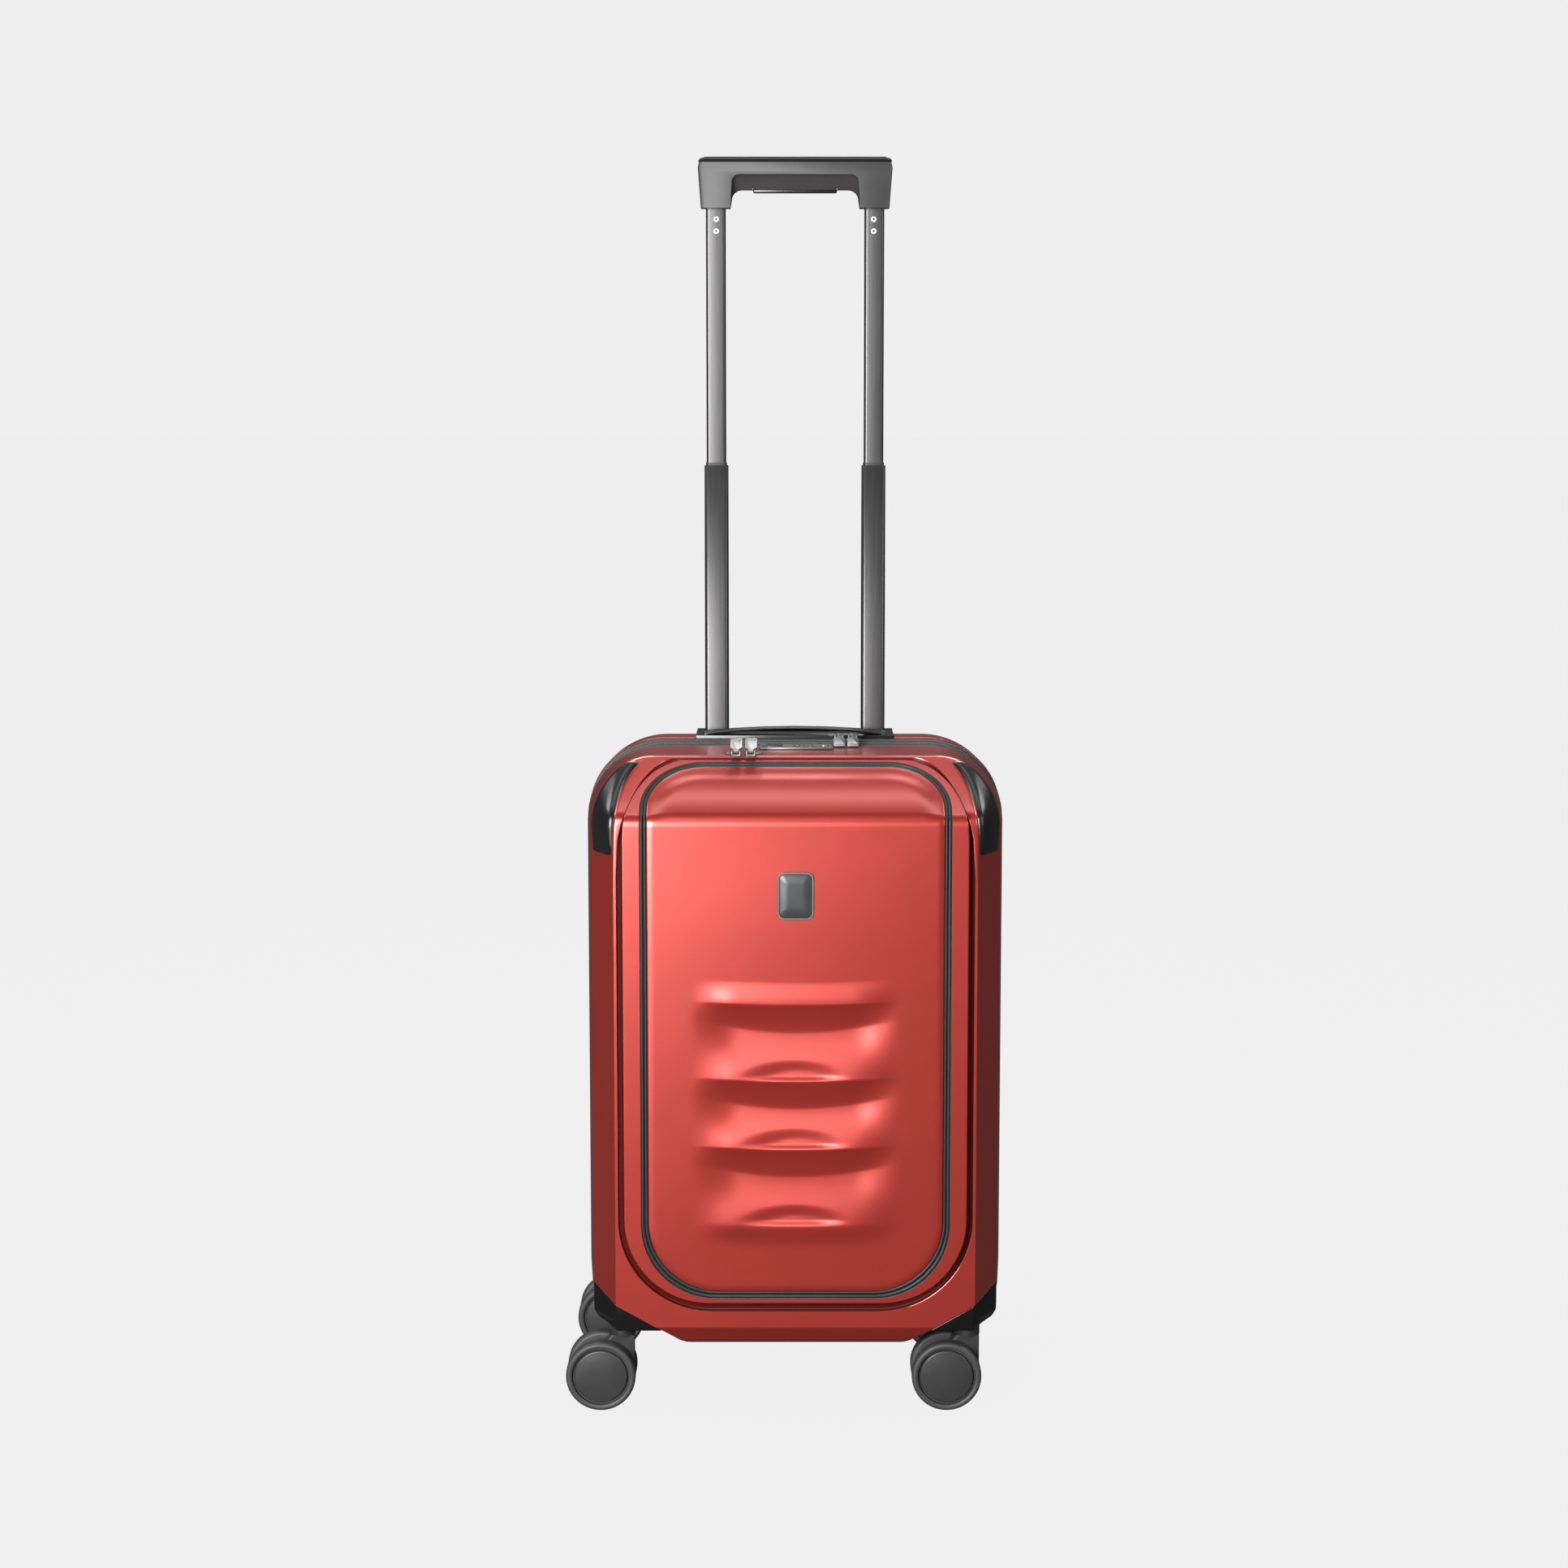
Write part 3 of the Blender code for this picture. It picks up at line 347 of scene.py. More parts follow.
# ---------------------------------------------------------------- outlines and lofts
def rounded_outline(half_width, low, high, low_corner, high_corner):
    """Points (x, z, low weight, high weight) round a rounded rectangle, right side then left."""
    right = []
    for step in range(ARC_STEPS + 1):
        angle = math.pi / 2 * step / ARC_STEPS
        x = half_width - low_corner[0] * (1 - math.sin(angle))
        right.append((x, low + low_corner[1] * (1 - math.cos(angle)), 1 - step / ARC_STEPS, 0.0))
    side_low, side_top = low + low_corner[1], high - high_corner[1]
    heights = [side_low + (CREASE_Z - side_low) * share for share in (0.35, 0.7, 0.86)]
    heights += [CREASE_Z + CREASE_SOFTNESS * share for share in CREASE_STEPS]
    above = heights[-1]
    heights += [above + (high - above) * math.sin(math.pi / 2 * step / ARC_STEPS)
                for step in range(1, ARC_STEPS + 1)]
    for z in heights:
        climb = min(1.0, max(0.0, (z - side_top) / high_corner[1]))
        x = half_width - high_corner[0] * (1 - math.sqrt(1 - climb * climb))
        right.append((x, z, 0.0, math.asin(climb) * 2 / math.pi))
    left = [(-x, z, low_weight, high_weight) for x, z, low_weight, high_weight in reversed(right)]
    return right + left


def pad_frame(along):
    """The pad's centre line and outward normal: upright, round the crease, then leaning back."""
    start = CREASE_Z - CREASE_SOFTNESS
    radius = CREASE_SOFTNESS / math.tan(PAD_LEAN / 2)
    turn = min(1.0, max(0.0, (along - start) / (2 * CREASE_SOFTNESS))) * PAD_LEAN
    y = PAD_Y + radius * (1 - math.cos(turn))
    z = min(along, start) + radius * math.sin(turn)
    beyond = max(0.0, along - CREASE_Z - CREASE_SOFTNESS)
    y += beyond * math.sin(PAD_LEAN)
    z += beyond * math.cos(PAD_LEAN)
    return y, z, Vector((0, -math.cos(turn), math.sin(turn)))


def pad_point(x, along, lift):
    y, z, normal = pad_frame(along)
    return Vector((x, y, z)) + normal * lift


def pad_loop(half_width, low, high, low_corner, high_corner, lift=0.0):
    """An outline on the pad, raised by a lift along the pad's own normal."""
    outline = rounded_outline(half_width, low, high, low_corner, high_corner)
    return [pad_point(x, along, lift) for x, along, _, _ in outline]


def frame_loop(half_width, low, high, low_corner, high_corner, lift=0.0):
    """An outline on the frame's front, which leans back above its knee."""
    points = []
    for x, z, _, _ in rounded_outline(half_width, low, high, low_corner, high_corner):
        above = z - FRAME_KNEE_Z
        lean = (above + math.hypot(above, 0.004)) / 2 * FRAME_LEAN
        points.append(Vector((x, FRAME_Y - lift + lean, z)))
    return points


def depth_loop(half_width, low, high, low_corner, high_corner, y_side, y_low=None, y_high=None):
    """An upright outline whose depth may differ at its sides, bottom and top."""
    y_low = y_side if y_low is None else y_low
    y_high = y_side if y_high is None else y_high
    points = []
    outline = rounded_outline(half_width, low, high, low_corner, high_corner)
    for x, z, low_weight, high_weight in outline:
        y = y_side + (y_low - y_side) * low_weight + (y_high - y_side) * high_weight
        points.append(Vector((x, y, z)))
    return points


def rim_loop(y, inset=0.0):
    """The case's outline at a depth; its top rises from the shelf to the back half's crest."""
    share = min(1.0, max(0.0, (y - FRONT_RIM_Y) / (BACK_RIM_Y - FRONT_RIM_Y)))
    top = SHELF_Z + (CREST_Z - SHELF_Z) * share - inset
    low_corner = (LOW_CORNER[0] - inset, LOW_CORNER[1] - inset)
    top_corner = (TOP_CORNER[0] - inset, TOP_CORNER[1] - inset)
    return depth_loop(HALF_WIDTH - inset, SHELL_BOTTOM + inset, top, low_corner, top_corner, y)


BEND_STEPS = 4


def rounded_corner(before, corner, after, radius):
    """Points of a soft bend through one corner of a line."""
    back, ahead = before - corner, after - corner
    start = corner + back * min(0.45, radius / max(back.length, 1e-9))
    end = corner + ahead * min(0.45, radius / max(ahead.length, 1e-9))
    points = []
    for step in range(BEND_STEPS + 1):
        t = step / BEND_STEPS
        points.append(start * (1 - t) ** 2 + corner * 2 * t * (1 - t) + end * t * t)
    return points


def soft_loops(loops, radii):
    """Round a stack of loops where it bends: one radius for each loop between the ends."""
    made = [loops[0]]
    for before, here, after, radius in zip(loops, loops[1:], loops[2:], radii):
        bends = [rounded_corner(*points, radius) for points in zip(before, here, after)]
        made += [list(loop) for loop in zip(*bends)]
    return made + [loops[-1]]


def loft(loops, ring=False, cap_first=False, cap_last=False):
    """Skin a stack of matching loops; caps join each point to its mirror image."""
    made = bmesh.new()
    rows = [[made.verts.new(point) for point in loop] for loop in loops]
    count = len(rows[0])
    pairs = list(zip(rows, rows[1:]))
    if ring:
        pairs.append((rows[-1], rows[0]))
    for first, second in pairs:
        for index in range(count):
            after = (index + 1) % count
            made.faces.new((first[index], first[after], second[after], second[index]))
    for wanted, row in ((cap_first, rows[0]), (cap_last, rows[-1])):
        if wanted:
            for index in range(count // 2 - 1):
                made.faces.new((row[index], row[index + 1], row[-2 - index], row[-1 - index]))
    return made


def capped_loft(loops):
    """Skin a stack of loops and close each end with one face."""
    made = loft(loops)
    made.verts.ensure_lookup_table()
    count = len(loops[0])
    for start in (0, (len(loops) - 1) * count):
        made.faces.new([made.verts[start + index] for index in range(count)])
    return made


def prism(points, start, end):
    return capped_loft([[Vector(point) + Vector(offset) for point in points] for offset in (start, end)])


def block(x_range, y_range, z_range):
    corners = [(x_range[0], y_range[0], 0), (x_range[1], y_range[0], 0),
               (x_range[1], y_range[1], 0), (x_range[0], y_range[1], 0)]
    return prism(corners, (0, 0, z_range[0]), (0, 0, z_range[1]))


def turned(profile, sides, centre, axis=(0, 1, 0)):
    """Spin a profile of (radius, offset) pairs, which starts and ends on the axis."""
    made = bmesh.new()
    rows = []
    for radius, offset in profile:
        count = 1 if radius < 1e-7 else sides
        angles = [2 * math.pi * side / sides for side in range(count)]
        rows.append([made.verts.new((radius * math.sin(a), offset, -radius * math.cos(a))) for a in angles])
    for first, second in zip(rows, rows[1:]):
        for side in range(sides):
            after = (side + 1) % sides
            corners = [first[side % len(first)], first[after % len(first)],
                       second[after % len(second)], second[side % len(second)]]
            made.faces.new(list(dict.fromkeys(corners)))
    turn = Vector((0, 1, 0)).rotation_difference(Vector(axis)).to_matrix().to_4x4()
    bmesh.ops.transform(made, matrix=Matrix.Translation(centre) @ turn, verts=made.verts)
    return made


def joined(parts):
    """Several bmeshes as one."""
    whole = bmesh.new()
    for part in parts:
        mesh = bpy.data.meshes.new("part")
        part.to_mesh(mesh)
        part.free()
        whole.from_mesh(mesh)
        bpy.data.meshes.remove(mesh)
    return whole


def arc(centre, radius, start_deg, end_deg, steps):
    """Points (u, v) on an arc."""
    points = []
    for step in range(steps + 1):
        angle = math.radians(start_deg + (end_deg - start_deg) * step / steps)
        points.append((centre[0] + radius * math.cos(angle), centre[1] + radius * math.sin(angle)))
    return points


def rounded_plan(half_u, half_v, radius, steps, centre=(0, 0)):
    """Points (u, v) round a rounded rectangle."""
    points = []
    for quarter, (u, v) in enumerate(((1, 1), (-1, 1), (-1, -1), (1, -1))):
        corner = (centre[0] + u * (half_u - radius), centre[1] + v * (half_v - radius))
        points += arc(corner, radius, 90 * quarter, 90 * quarter + 90, steps)
    return points


# ---------------------------------------------------------------- shells
WEDGE_X = (0.0885, 0.109, 0.190)    # where a housing's top starts, bends and ends
WEDGE_LOW = 0.040


def housing_slant(x):
    """Height of a housing's slanted top."""
    return 0.0672 + (x - WEDGE_X[1]) * 0.57


def corner_wedges(y_range, grow=0.0):
    """Both wedges that the caster housings take out of a shell's bottom corners."""
    start, bend, end = WEDGE_X
    outline = [(start - grow, WEDGE_LOW), (start - grow, 0.0530 + grow), (bend, housing_slant(bend) + grow),
               (end, housing_slant(end) + grow), (end, WEDGE_LOW)]
    wedges = []
    for _, side in SIDES:
        points = [(side * x, 0, z) for x, z in outline]
        wedges.append(prism(points, (0, y_range[0], 0), (0, y_range[1], 0)))
    both = joined(wedges)
    bmesh.ops.recalc_face_normals(both, faces=both.faces)
    return as_object("wedges", both)


def build_shell(name, outer, cavity, wedge_y, wall_side, body, node, hole, channel):
    """A moulded shell; channel names the strips between loops that are its groove, which take a darker matt
    red as painted shade.
    """
    walled = list(wedge_y)
    walled[wall_side] += CORNER_WALL if wall_side else -CORNER_WALL
    meshes = []
    for loops, look in ((outer, RED), (cavity, LINING)):
        solid = loft(loops, cap_first=True, cap_last=True)
        if look is RED:
            for index, face in enumerate(solid.faces):
                # the groove's strips take the second slot, a darker red that is painted shade
                face.material_index = int(index // len(loops[0]) in channel)
        bmesh.ops.recalc_face_normals(solid, faces=solid.faces)
        meshes.append(as_object(name, solid, look))
    shell, hollow = meshes
    # second slot: the groove's darker red, painted shade
    shell.data.materials.append(GROOVE_PAINTED_SHADE)
    carved(shell, corner_wedges(wedge_y))
    carved(hollow, corner_wedges(walled, WALL))
    carved(shell, hollow, with_material=True)
    opening = block(*hole)
    bmesh.ops.recalc_face_normals(opening, faces=opening.faces)
    carved(shell, as_object("opening", opening))
    shell.data.transform(Matrix.Translation((CENTRE_X, 0, 0)))
    finish_piece(shell, body, (node,), 24)
    weight = shell.modifiers.new("weighted", "WEIGHTED_NORMAL")
    weight.keep_sharp = True
    return shell


def facet_loops():
    """The facet round the front half's face: its outer edge, middle and inner edge."""
    return [depth_loop(*FACET_START, *FACET_START_Y), depth_loop(*FACET_MIDDLE, *FACET_MIDDLE_Y),
            frame_loop(*FACET_END)]


def build_front_shell():
    outer = soft_loops([
        rim_loop(FRONT_RIM_Y, 0.0012),
        rim_loop(FRONT_RIM_Y - 0.0008),
        *facet_loops(),
        frame_loop(0.1466, 0.085, 0.5418, (0.078, 0.078), (0.050, 0.084)),
        frame_loop(0.1456, 0.0860, 0.5390, (0.077, 0.077), (0.050, 0.082), -0.0040),
        pad_loop(0.1422, 0.0928, 0.5650, (0.071, 0.071), (0.0535, 0.088), -0.0085),
        pad_loop(*PAD_EDGE),
        pad_loop(*OPENING),
        pad_loop(0.1250, 0.1005, 0.5615, (0.0600, 0.0600), (0.0510, 0.0510)),
    ], (0.0005, 0.0030, 0.0040, 0.0020, 0.0009, 0.0009, 0.0009, 0.0009, 0.0001))
    cavity = [
        pad_loop(*OPENING, 0.0040),
        pad_loop(*OPENING, -0.0060),
        pad_loop(*OPENING, -0.0095),
        pad_loop(0.1380, 0.0970, 0.5600, (0.067, 0.067), (0.052, 0.086), -0.0110),
        frame_loop(0.1480, 0.0740, 0.5330, (0.020, 0.020), (0.044, 0.070), -0.0110),
        depth_loop(0.1664, 0.0575, 0.5400, (0.080, 0.038), (0.050, 0.056), -0.0685, -0.086, -0.042),
        rim_loop(FRONT_RIM_Y - 0.001, WALL),
        rim_loop(FRONT_RIM_Y + 0.002, WALL),
    ]
    lock_hole = (LOCK_X, (-0.0103, 0.0103), (0.530, 0.550))
    # strips 25 to 35 are the groove between frame and pad, which takes the painted shade
    build_shell("front_shell_skin", outer, cavity, (-0.125, -0.048), 1, "front_half", "front_shell",
                lock_hole, range(25, 36))


def build_back_shell():
    outer = soft_loops([
        rim_loop(BACK_RIM_Y, 0.0012),
        rim_loop(BACK_RIM_Y + 0.0008),
        depth_loop(0.1745, 0.0545, 0.5450, (0.086, 0.042), (0.065, 0.062), 0.095),
        depth_loop(0.1685, 0.0610, 0.5390, (0.080, 0.040), (0.062, 0.060), 0.108),
        depth_loop(0.1580, 0.0720, 0.5280, (0.070, 0.036), (0.056, 0.056), 0.1135),
        depth_loop(0.1480, 0.0820, 0.5180, (0.060, 0.030), (0.050, 0.050), BACK_Y),
        depth_loop(0.1400, 0.0900, 0.5110, (0.055, 0.028), (0.046, 0.046), BACK_Y),
        depth_loop(0.1370, 0.0930, 0.5092, (0.054, 0.027), (0.045, 0.045), BACK_Y - 0.0016),
        depth_loop(0.1340, 0.0960, 0.5075, (0.053, 0.026), (0.044, 0.044), BACK_Y - 0.0016),
    ], (0.0005, 0.010, 0.008, 0.008, 0.006, 0.0015, 0.0015))
    cavity = [
        rim_loop(BACK_RIM_Y - 0.002, WALL),
        rim_loop(BACK_RIM_Y + 0.001, WALL),
        depth_loop(0.1718, 0.0572, 0.5423, (0.083, 0.039), (0.062, 0.060), 0.0945),
        depth_loop(0.1660, 0.0635, 0.5365, (0.077, 0.037), (0.060, 0.058), 0.1050),
        depth_loop(0.1560, 0.0740, 0.5260, (0.067, 0.033), (0.054, 0.054), 0.1095),
        depth_loop(0.1455, 0.0845, 0.5155, (0.058, 0.028), (0.048, 0.048), 0.1105),
    ]
    bezel_hole = ((-0.0853, 0.0853), (0.045, 0.1063), (0.536, 0.560))
    build_shell("back_shell_skin", outer, cavity, (0.0545, 0.125), 0, "back_half", "back_shell",
                bezel_hole, range(0))


# ---------------------------------------------------------------- door
LIPS = (0.3471, 0.2835, 0.2263, 0.1619)
SWELL_START = 0.3660
LIP_RISE = 0.0019
CUP_DEPTH = 0.0052
CUP_LENGTH = 0.0240
TAIL_LENGTH = 0.0175
WAVE_FLAT = 0.048               # half width of the waves' full height, and their fade beyond it
WAVE_FADE = 0.038
BOW_REACH = 0.085
BOW_RISE = 0.0030
DENT_SIZE = (0.047, 0.0185)
DOOR_COLUMNS = 64
LINING_EDGE = (0.1195, 0.1068, 0.5558, (0.0562, 0.0562), (0.0442, 0.0442))
LINING_FACE = (0.1165, 0.1098, 0.5528, (0.0532, 0.0532), (0.0412, 0.0412))


def ease(share):
    """A soft step from 0 to 1."""
    share = min(1.0, max(0.0, share))
    return share * share * (3 - 2 * share)


def swell(z, cup_length):
    """Height of the door's three cupped waves, from the top down."""
    if z > LIPS[0]:
        return LIP_RISE * ease((SWELL_START - z) / (SWELL_START - LIPS[0])) ** 0.8
    for lip, following in zip(LIPS, LIPS[1:]):
        if z > following:
            below = lip - z
            if below < cup_length:
                return LIP_RISE - CUP_DEPTH * (1 - (1 - below / cup_length) ** 1.4)
            climb = (below - cup_length) / (lip - following - cup_length)
            return LIP_RISE - CUP_DEPTH * (1 - 0.45 * climb - 0.55 * ease(climb))
    return LIP_RISE * (1 - ease((LIPS[-1] - z) / TAIL_LENGTH))


def thumb_dent(x, z):
    """The shallow arched dent just above each lower lip."""
    depth = 0.0
    for lip in LIPS[1:]:
        distance = math.hypot(x / DENT_SIZE[0], (z - lip) / DENT_SIZE[1])
        if z > lip - 0.001:
            depth += 0.0017 * ease((1.0 - distance) / 0.58) * ease((z - lip + 0.0008) / 0.0058)
    return depth


def wave_lift(x, z):
    """Height of the waves, whose lips bow and whose cups shorten towards the sides."""
    envelope = 1 - ease((abs(x) - WAVE_FLAT) / WAVE_FADE)
    bowed = z + BOW_RISE * (1 - (x / BOW_REACH) ** 2) - BOW_RISE / 2
    cup_length = CUP_LENGTH * (1 - 0.40 * min(1.0, abs(x) / BOW_REACH) ** 2)
    return envelope * (swell(bowed, cup_length) - thumb_dent(x, bowed))


def belly(x, along):
    """The door's slight overall bulge, with a second one across its leaning top."""
    across = 1 - (x / DOOR_HALF_WIDTH) ** 2
    if along < CREASE_Z:
        return 0.0011 * across * ease((along - DOOR_LOW) / 0.10) * ease((CREASE_Z - along) / 0.10)
    middle = (CREASE_Z + DOOR_HIGH) / 2
    half = (DOOR_HIGH - CREASE_Z) / 2
    return 0.0030 * (1 - ((along - middle) / half) ** 2) * ease(edge_distance(x, along) / 0.020)


def door_width(along):
    """Half the door's width at a height along the pad."""
    drop = DOOR_LOW + DOOR_LOW_CORNER - along
    rise = along - DOOR_HIGH + DOOR_HIGH_CORNER
    for radius, into in ((DOOR_LOW_CORNER, drop), (DOOR_HIGH_CORNER, rise)):
        if into > 0:
            return DOOR_HALF_WIDTH - radius + math.sqrt(max(0.0, radius ** 2 - into ** 2))
    return DOOR_HALF_WIDTH


def edge_distance(x, along):
    """How far a point on the door lies inside its rounded outline."""
    corner = DOOR_LOW_CORNER if along < 0.3 else DOOR_HIGH_CORNER
    u = abs(x) - DOOR_HALF_WIDTH + corner
    v = max(along - DOOR_HIGH, DOOR_LOW - along) + corner
    if u > 0 and v > 0:
        return corner - math.hypot(u, v)
    return corner - max(u, v)


def door_rows():
    """Heights of the door's rows: arcs at the corners, fine steps on the waves and the crease."""
    rows = [DOOR_LOW + DOOR_LOW_CORNER * (1 - math.cos(math.pi / 2 * step / 22))
            for step in range(20)]
    position = rows[-1] + 0.003
    while position < DOOR_HIGH - DOOR_HIGH_CORNER:
        rows.append(position)
        on_waves = LIPS[-1] - 0.025 < position < SWELL_START + 0.01
        on_crease = abs(position - CREASE_Z) < 0.012
        position += 0.0009 if on_waves else 0.0015 if on_crease else 0.006
    rows += [DOOR_HIGH - DOOR_HIGH_CORNER * (1 - math.sin(math.pi / 2 * step / 20))
             for step in range(1, 21)]
    return rows


def door_columns():
    """Shares of the half width: finer near the edges."""
    reach = math.pi / 2 * 0.9
    return [math.sin(reach * (2 * column / DOOR_COLUMNS - 1)) / math.sin(reach)
            for column in range(DOOR_COLUMNS + 1)]


def build_door():
    shares = door_columns()
    rows = []
    for along in door_rows():
        width = door_width(along)
        row = []
        for share in shares:
            x = share * width
            inside = max(0.0, edge_distance(x, along))
            edge = -0.0002 + 0.0006 * math.sin(math.pi / 2 * min(1.0, inside / 0.005))
            lift = edge + belly(x, along) + wave_lift(x, along)
            row.append(pad_point(x, along, lift))
        rows.append(row)
    made = bmesh.new()
    front = [[made.verts.new(point) for point in row] for row in rows]
    for low, high in zip(front, front[1:]):
        for column in range(len(shares) - 1):
            made.faces.new((low[column], low[column + 1], high[column + 1], high[column]))
    bmesh.ops.recalc_face_normals(made, faces=made.faces)
    if sum(face.normal.y for face in made.faces) > 0:
        bmesh.ops.reverse_faces(made, faces=made.faces)
    skin = as_object("door_skin", made, RED)
    skin.data.transform(Matrix.Translation((CENTRE_X, 0, 0)))
    thick = skin.modifiers.new("thickness", "SOLIDIFY")
    thick.thickness = 0.0024
    thick.offset = -1
    finish_piece(skin, "front_door", ("door_panel",), 40)
    border = [pad_loop(*outline, lift) for outline, lift in (
        (LINING_FACE, -0.0062), (LINING_EDGE, -0.0062), (LINING_EDGE, -0.0070), (LINING_FACE, -0.0082))]
    add_piece("door_lining", loft(border, ring=True), LINING, "front_door")
    sheet = loft([pad_loop(*LINING_FACE, lift) for lift in (-0.0064, -0.0076)], cap_first=True, cap_last=True)
    add_piece("door_lining_sheet", sheet, LINING, "front_door")


BADGE_Z = 0.43575
BADGE_BACK_Y = -0.1131


def build_badge():
    """A plain rounded plate: a silver rim round a dark field."""
    def rings(table):
        return [[Vector((x, y, z)) for x, z in rounded_plan(*plan, 8, (0, BADGE_Z))] for plan, y in table]
    edge, bore = (0.0150, 0.0197, 0.0060), (0.0132, 0.0179, 0.0042)
    rim = rings(((edge, BADGE_BACK_Y), (edge, -0.1140), ((0.0146, 0.0193, 0.0056), -0.1146),
                 ((0.0136, 0.0183, 0.0046), -0.1146), (bore, -0.1140), (bore, BADGE_BACK_Y)))
    add_piece("badge_rim", loft(rim, ring=True), SILVER, "front_door", ("badge_plate",))
    field = rings(((bore, BADGE_BACK_Y), (bore, -0.1138), ((0.0124, 0.0171, 0.0034), -0.1143),
                   ((0.0060, 0.0090, 0.0020), -0.1146)))
    add_piece("badge_field", capped_loft(field), BADGE_GREY, "front_door")


# ---------------------------------------------------------------- zips
def evenly(loop, pitch):
    """Points and directions at an even pitch round a closed loop."""
    lengths = [(after - here).length for here, after in zip(loop, loop[1:] + loop[:1])]
    total = sum(lengths)
    count = int(total / pitch)
    placed, travelled, index = [], 0.0, 0
    for step in range(count):
        wanted = total * step / count
        while travelled + lengths[index] < wanted:
            travelled += lengths[index]
            index += 1
        here, after = loop[index], loop[(index + 1) % len(loop)]
        share = (wanted - travelled) / max(lengths[index], 1e-9)
        placed.append((here.lerp(after, share), (after - here).normalized()))
    return placed


def teeth(loop, pitch, size, outward):
    """A row of rounded zip teeth.

    The size is (along, across, tall), and outward(point) gives a tooth's up direction.
    """
    made = bmesh.new()
    for point, along in evenly(loop, pitch):
        up = outward(point)
        across = along.cross(up).normalized()
        rows = []
        for lift, shrink in ((-0.5, 1.0), (0.2, 1.0), (0.5, 0.55)):
            row = []
            for u, v in ((-1, -1), (1, -1), (1, 1), (-1, 1)):
                row.append(made.verts.new(point + along * size[0] / 2 * u * shrink
                                          + across * size[1] / 2 * v * shrink + up * size[2] * lift))
            rows.append(row)
        for low, high in zip(rows, rows[1:]):
            for index in range(4):
                after = (index + 1) % 4
                made.faces.new((low[index], low[after], high[after], high[index]))
        made.faces.new(rows[-1])
        made.faces.new(list(reversed(rows[0])))
    return made


def facing(y):
    """An outward rule for teeth that all point along Y."""
    return lambda point: Vector((0, y, 0))


def case_outward(point):
    """The direction out of the case at a point on its outline."""
    centre = Vector((0, point.y, min(0.47, max(0.12, point.z))))
    centre.x = max(-0.10, min(0.10, point.x))
    return (point - centre).normalized()


def hoop(profile):
    """A hoop round the case with a cross-section of (y, inset) pairs."""
    return loft([rim_loop(y, inset) for y, inset in profile], ring=True)


TAPE_THICK = 0.0026
COIL_PITCH = 0.0017


def tape_profile(y_start, y_end, bead_at_end):
    """A soft tape with raised woven edges, thicker where it carries its teeth."""
    length = y_end - y_start
    bead = 0.92 if bead_at_end else 0.08
    outside = ((0.0, 0.0012), (0.03, 0.0007), (0.10, 0.0006), (0.14, 0.0009), (0.5, 0.0010),
               (0.86, 0.0009), (0.90, 0.0006), (0.97, 0.0007), (1.0, 0.0012))
    profile = []
    for share, inset in outside:
        lifted = inset - 0.0003 * math.exp(-((share - bead) / 0.08) ** 2)
        profile.append((y_start + length * share, lifted))
    return profile + [(y_end, TAPE_THICK), (y_start, TAPE_THICK)]


def build_case_zips():
    bands = (
        ("main_zip_front", FRONT_RIM_Y + GAP, MAIN_ZIP_Y - SLIT, True, "front_half",
         "main_zip_front_tape"),
        ("main_zip_rear", MAIN_ZIP_Y + SLIT, BAND_SPLIT_Y - SLIT, False, "expansion_band",
         "main_zip_rear_tape"),
        ("expansion_zip", BAND_SPLIT_Y + SLIT, BACK_RIM_Y - GAP, False, "back_half", "back_zip_tape"),
    )
    for name, start, end, bead_at_end, body, node in bands:
        profile = tape_profile(start, end, bead_at_end)
        add_piece(f"{name}_tape", hoop(profile), TAPE, body, (node,), 50)
    rows = ((MAIN_ZIP_Y - TOOTH_ROW, "main_zip_front", "front_half"),
            (MAIN_ZIP_Y + TOOTH_ROW, "main_zip_rear", "expansion_band"),
            (BAND_SPLIT_Y - TOOTH_ROW, "expansion_zip_front", "expansion_band"),
            (BAND_SPLIT_Y + TOOTH_ROW, "expansion_zip_rear", "back_half"))
    for y, name, body in rows:
        row = teeth(rim_loop(y, 0.0004), COIL_PITCH, (0.0012, 0.0016, 0.0010), case_outward)
        add_piece(f"{name}_coil", row, COIL, body, (), 50)


def build_door_zip():
    """Two rubber-faced tapes that meet along a fine slit, with their teeth hidden behind."""
    crown = -0.0001

    def band(inner, outer, inner_corner, outer_corner):
        def loop(reach, corner, lift):
            size = (DOOR_HALF_WIDTH + reach, DOOR_LOW - reach * 1.12, DOOR_HIGH + reach,
                    (DOOR_LOW_CORNER + corner,) * 2, (DOOR_HIGH_CORNER + corner,) * 2)
            return pad_loop(*size, lift)
        width = outer - inner
        loops = []
        for share, lift in ((0.0, -0.0024), (0.0, -0.0010), (0.12, -0.0005), (0.35, crown),
                            (0.65, crown), (0.88, -0.0005), (1.0, -0.0010), (1.0, -0.0024)):
            reach = inner + width * share
            corner = inner_corner + (outer_corner - inner_corner) * share
            loops.append(loop(reach, corner, lift))
        return loft(loops, ring=True)
    sides = (("outer", (0.0030, ZIP_WIDTH, 0.0020, 0.0040), 0.0036, "front_half", ("door_zip_tape",)),
             ("inner", (0.0003, 0.0027, 0.0003, 0.0018), 0.0022, "front_door", ()))
    for name, edges, _, body, replaced in sides:
        add_piece(f"door_zip_{name}_tape", band(*edges), TAPE_GLOSS, body, replaced, 50)
    for name, _, reach, body, _ in sides:
        size = (DOOR_HALF_WIDTH + reach, DOOR_LOW - reach, DOOR_HIGH + reach,
                (DOOR_LOW_CORNER + reach,) * 2, (DOOR_HIGH_CORNER + reach,) * 2)
        row = teeth(pad_loop(*size, -0.0030), COIL_PITCH, (0.0011, 0.0014, 0.0010), facing(-1))
        add_piece(f"door_zip_{name}_coil", row, COIL, body, (), 50)


GUSSET_STEPS = 16


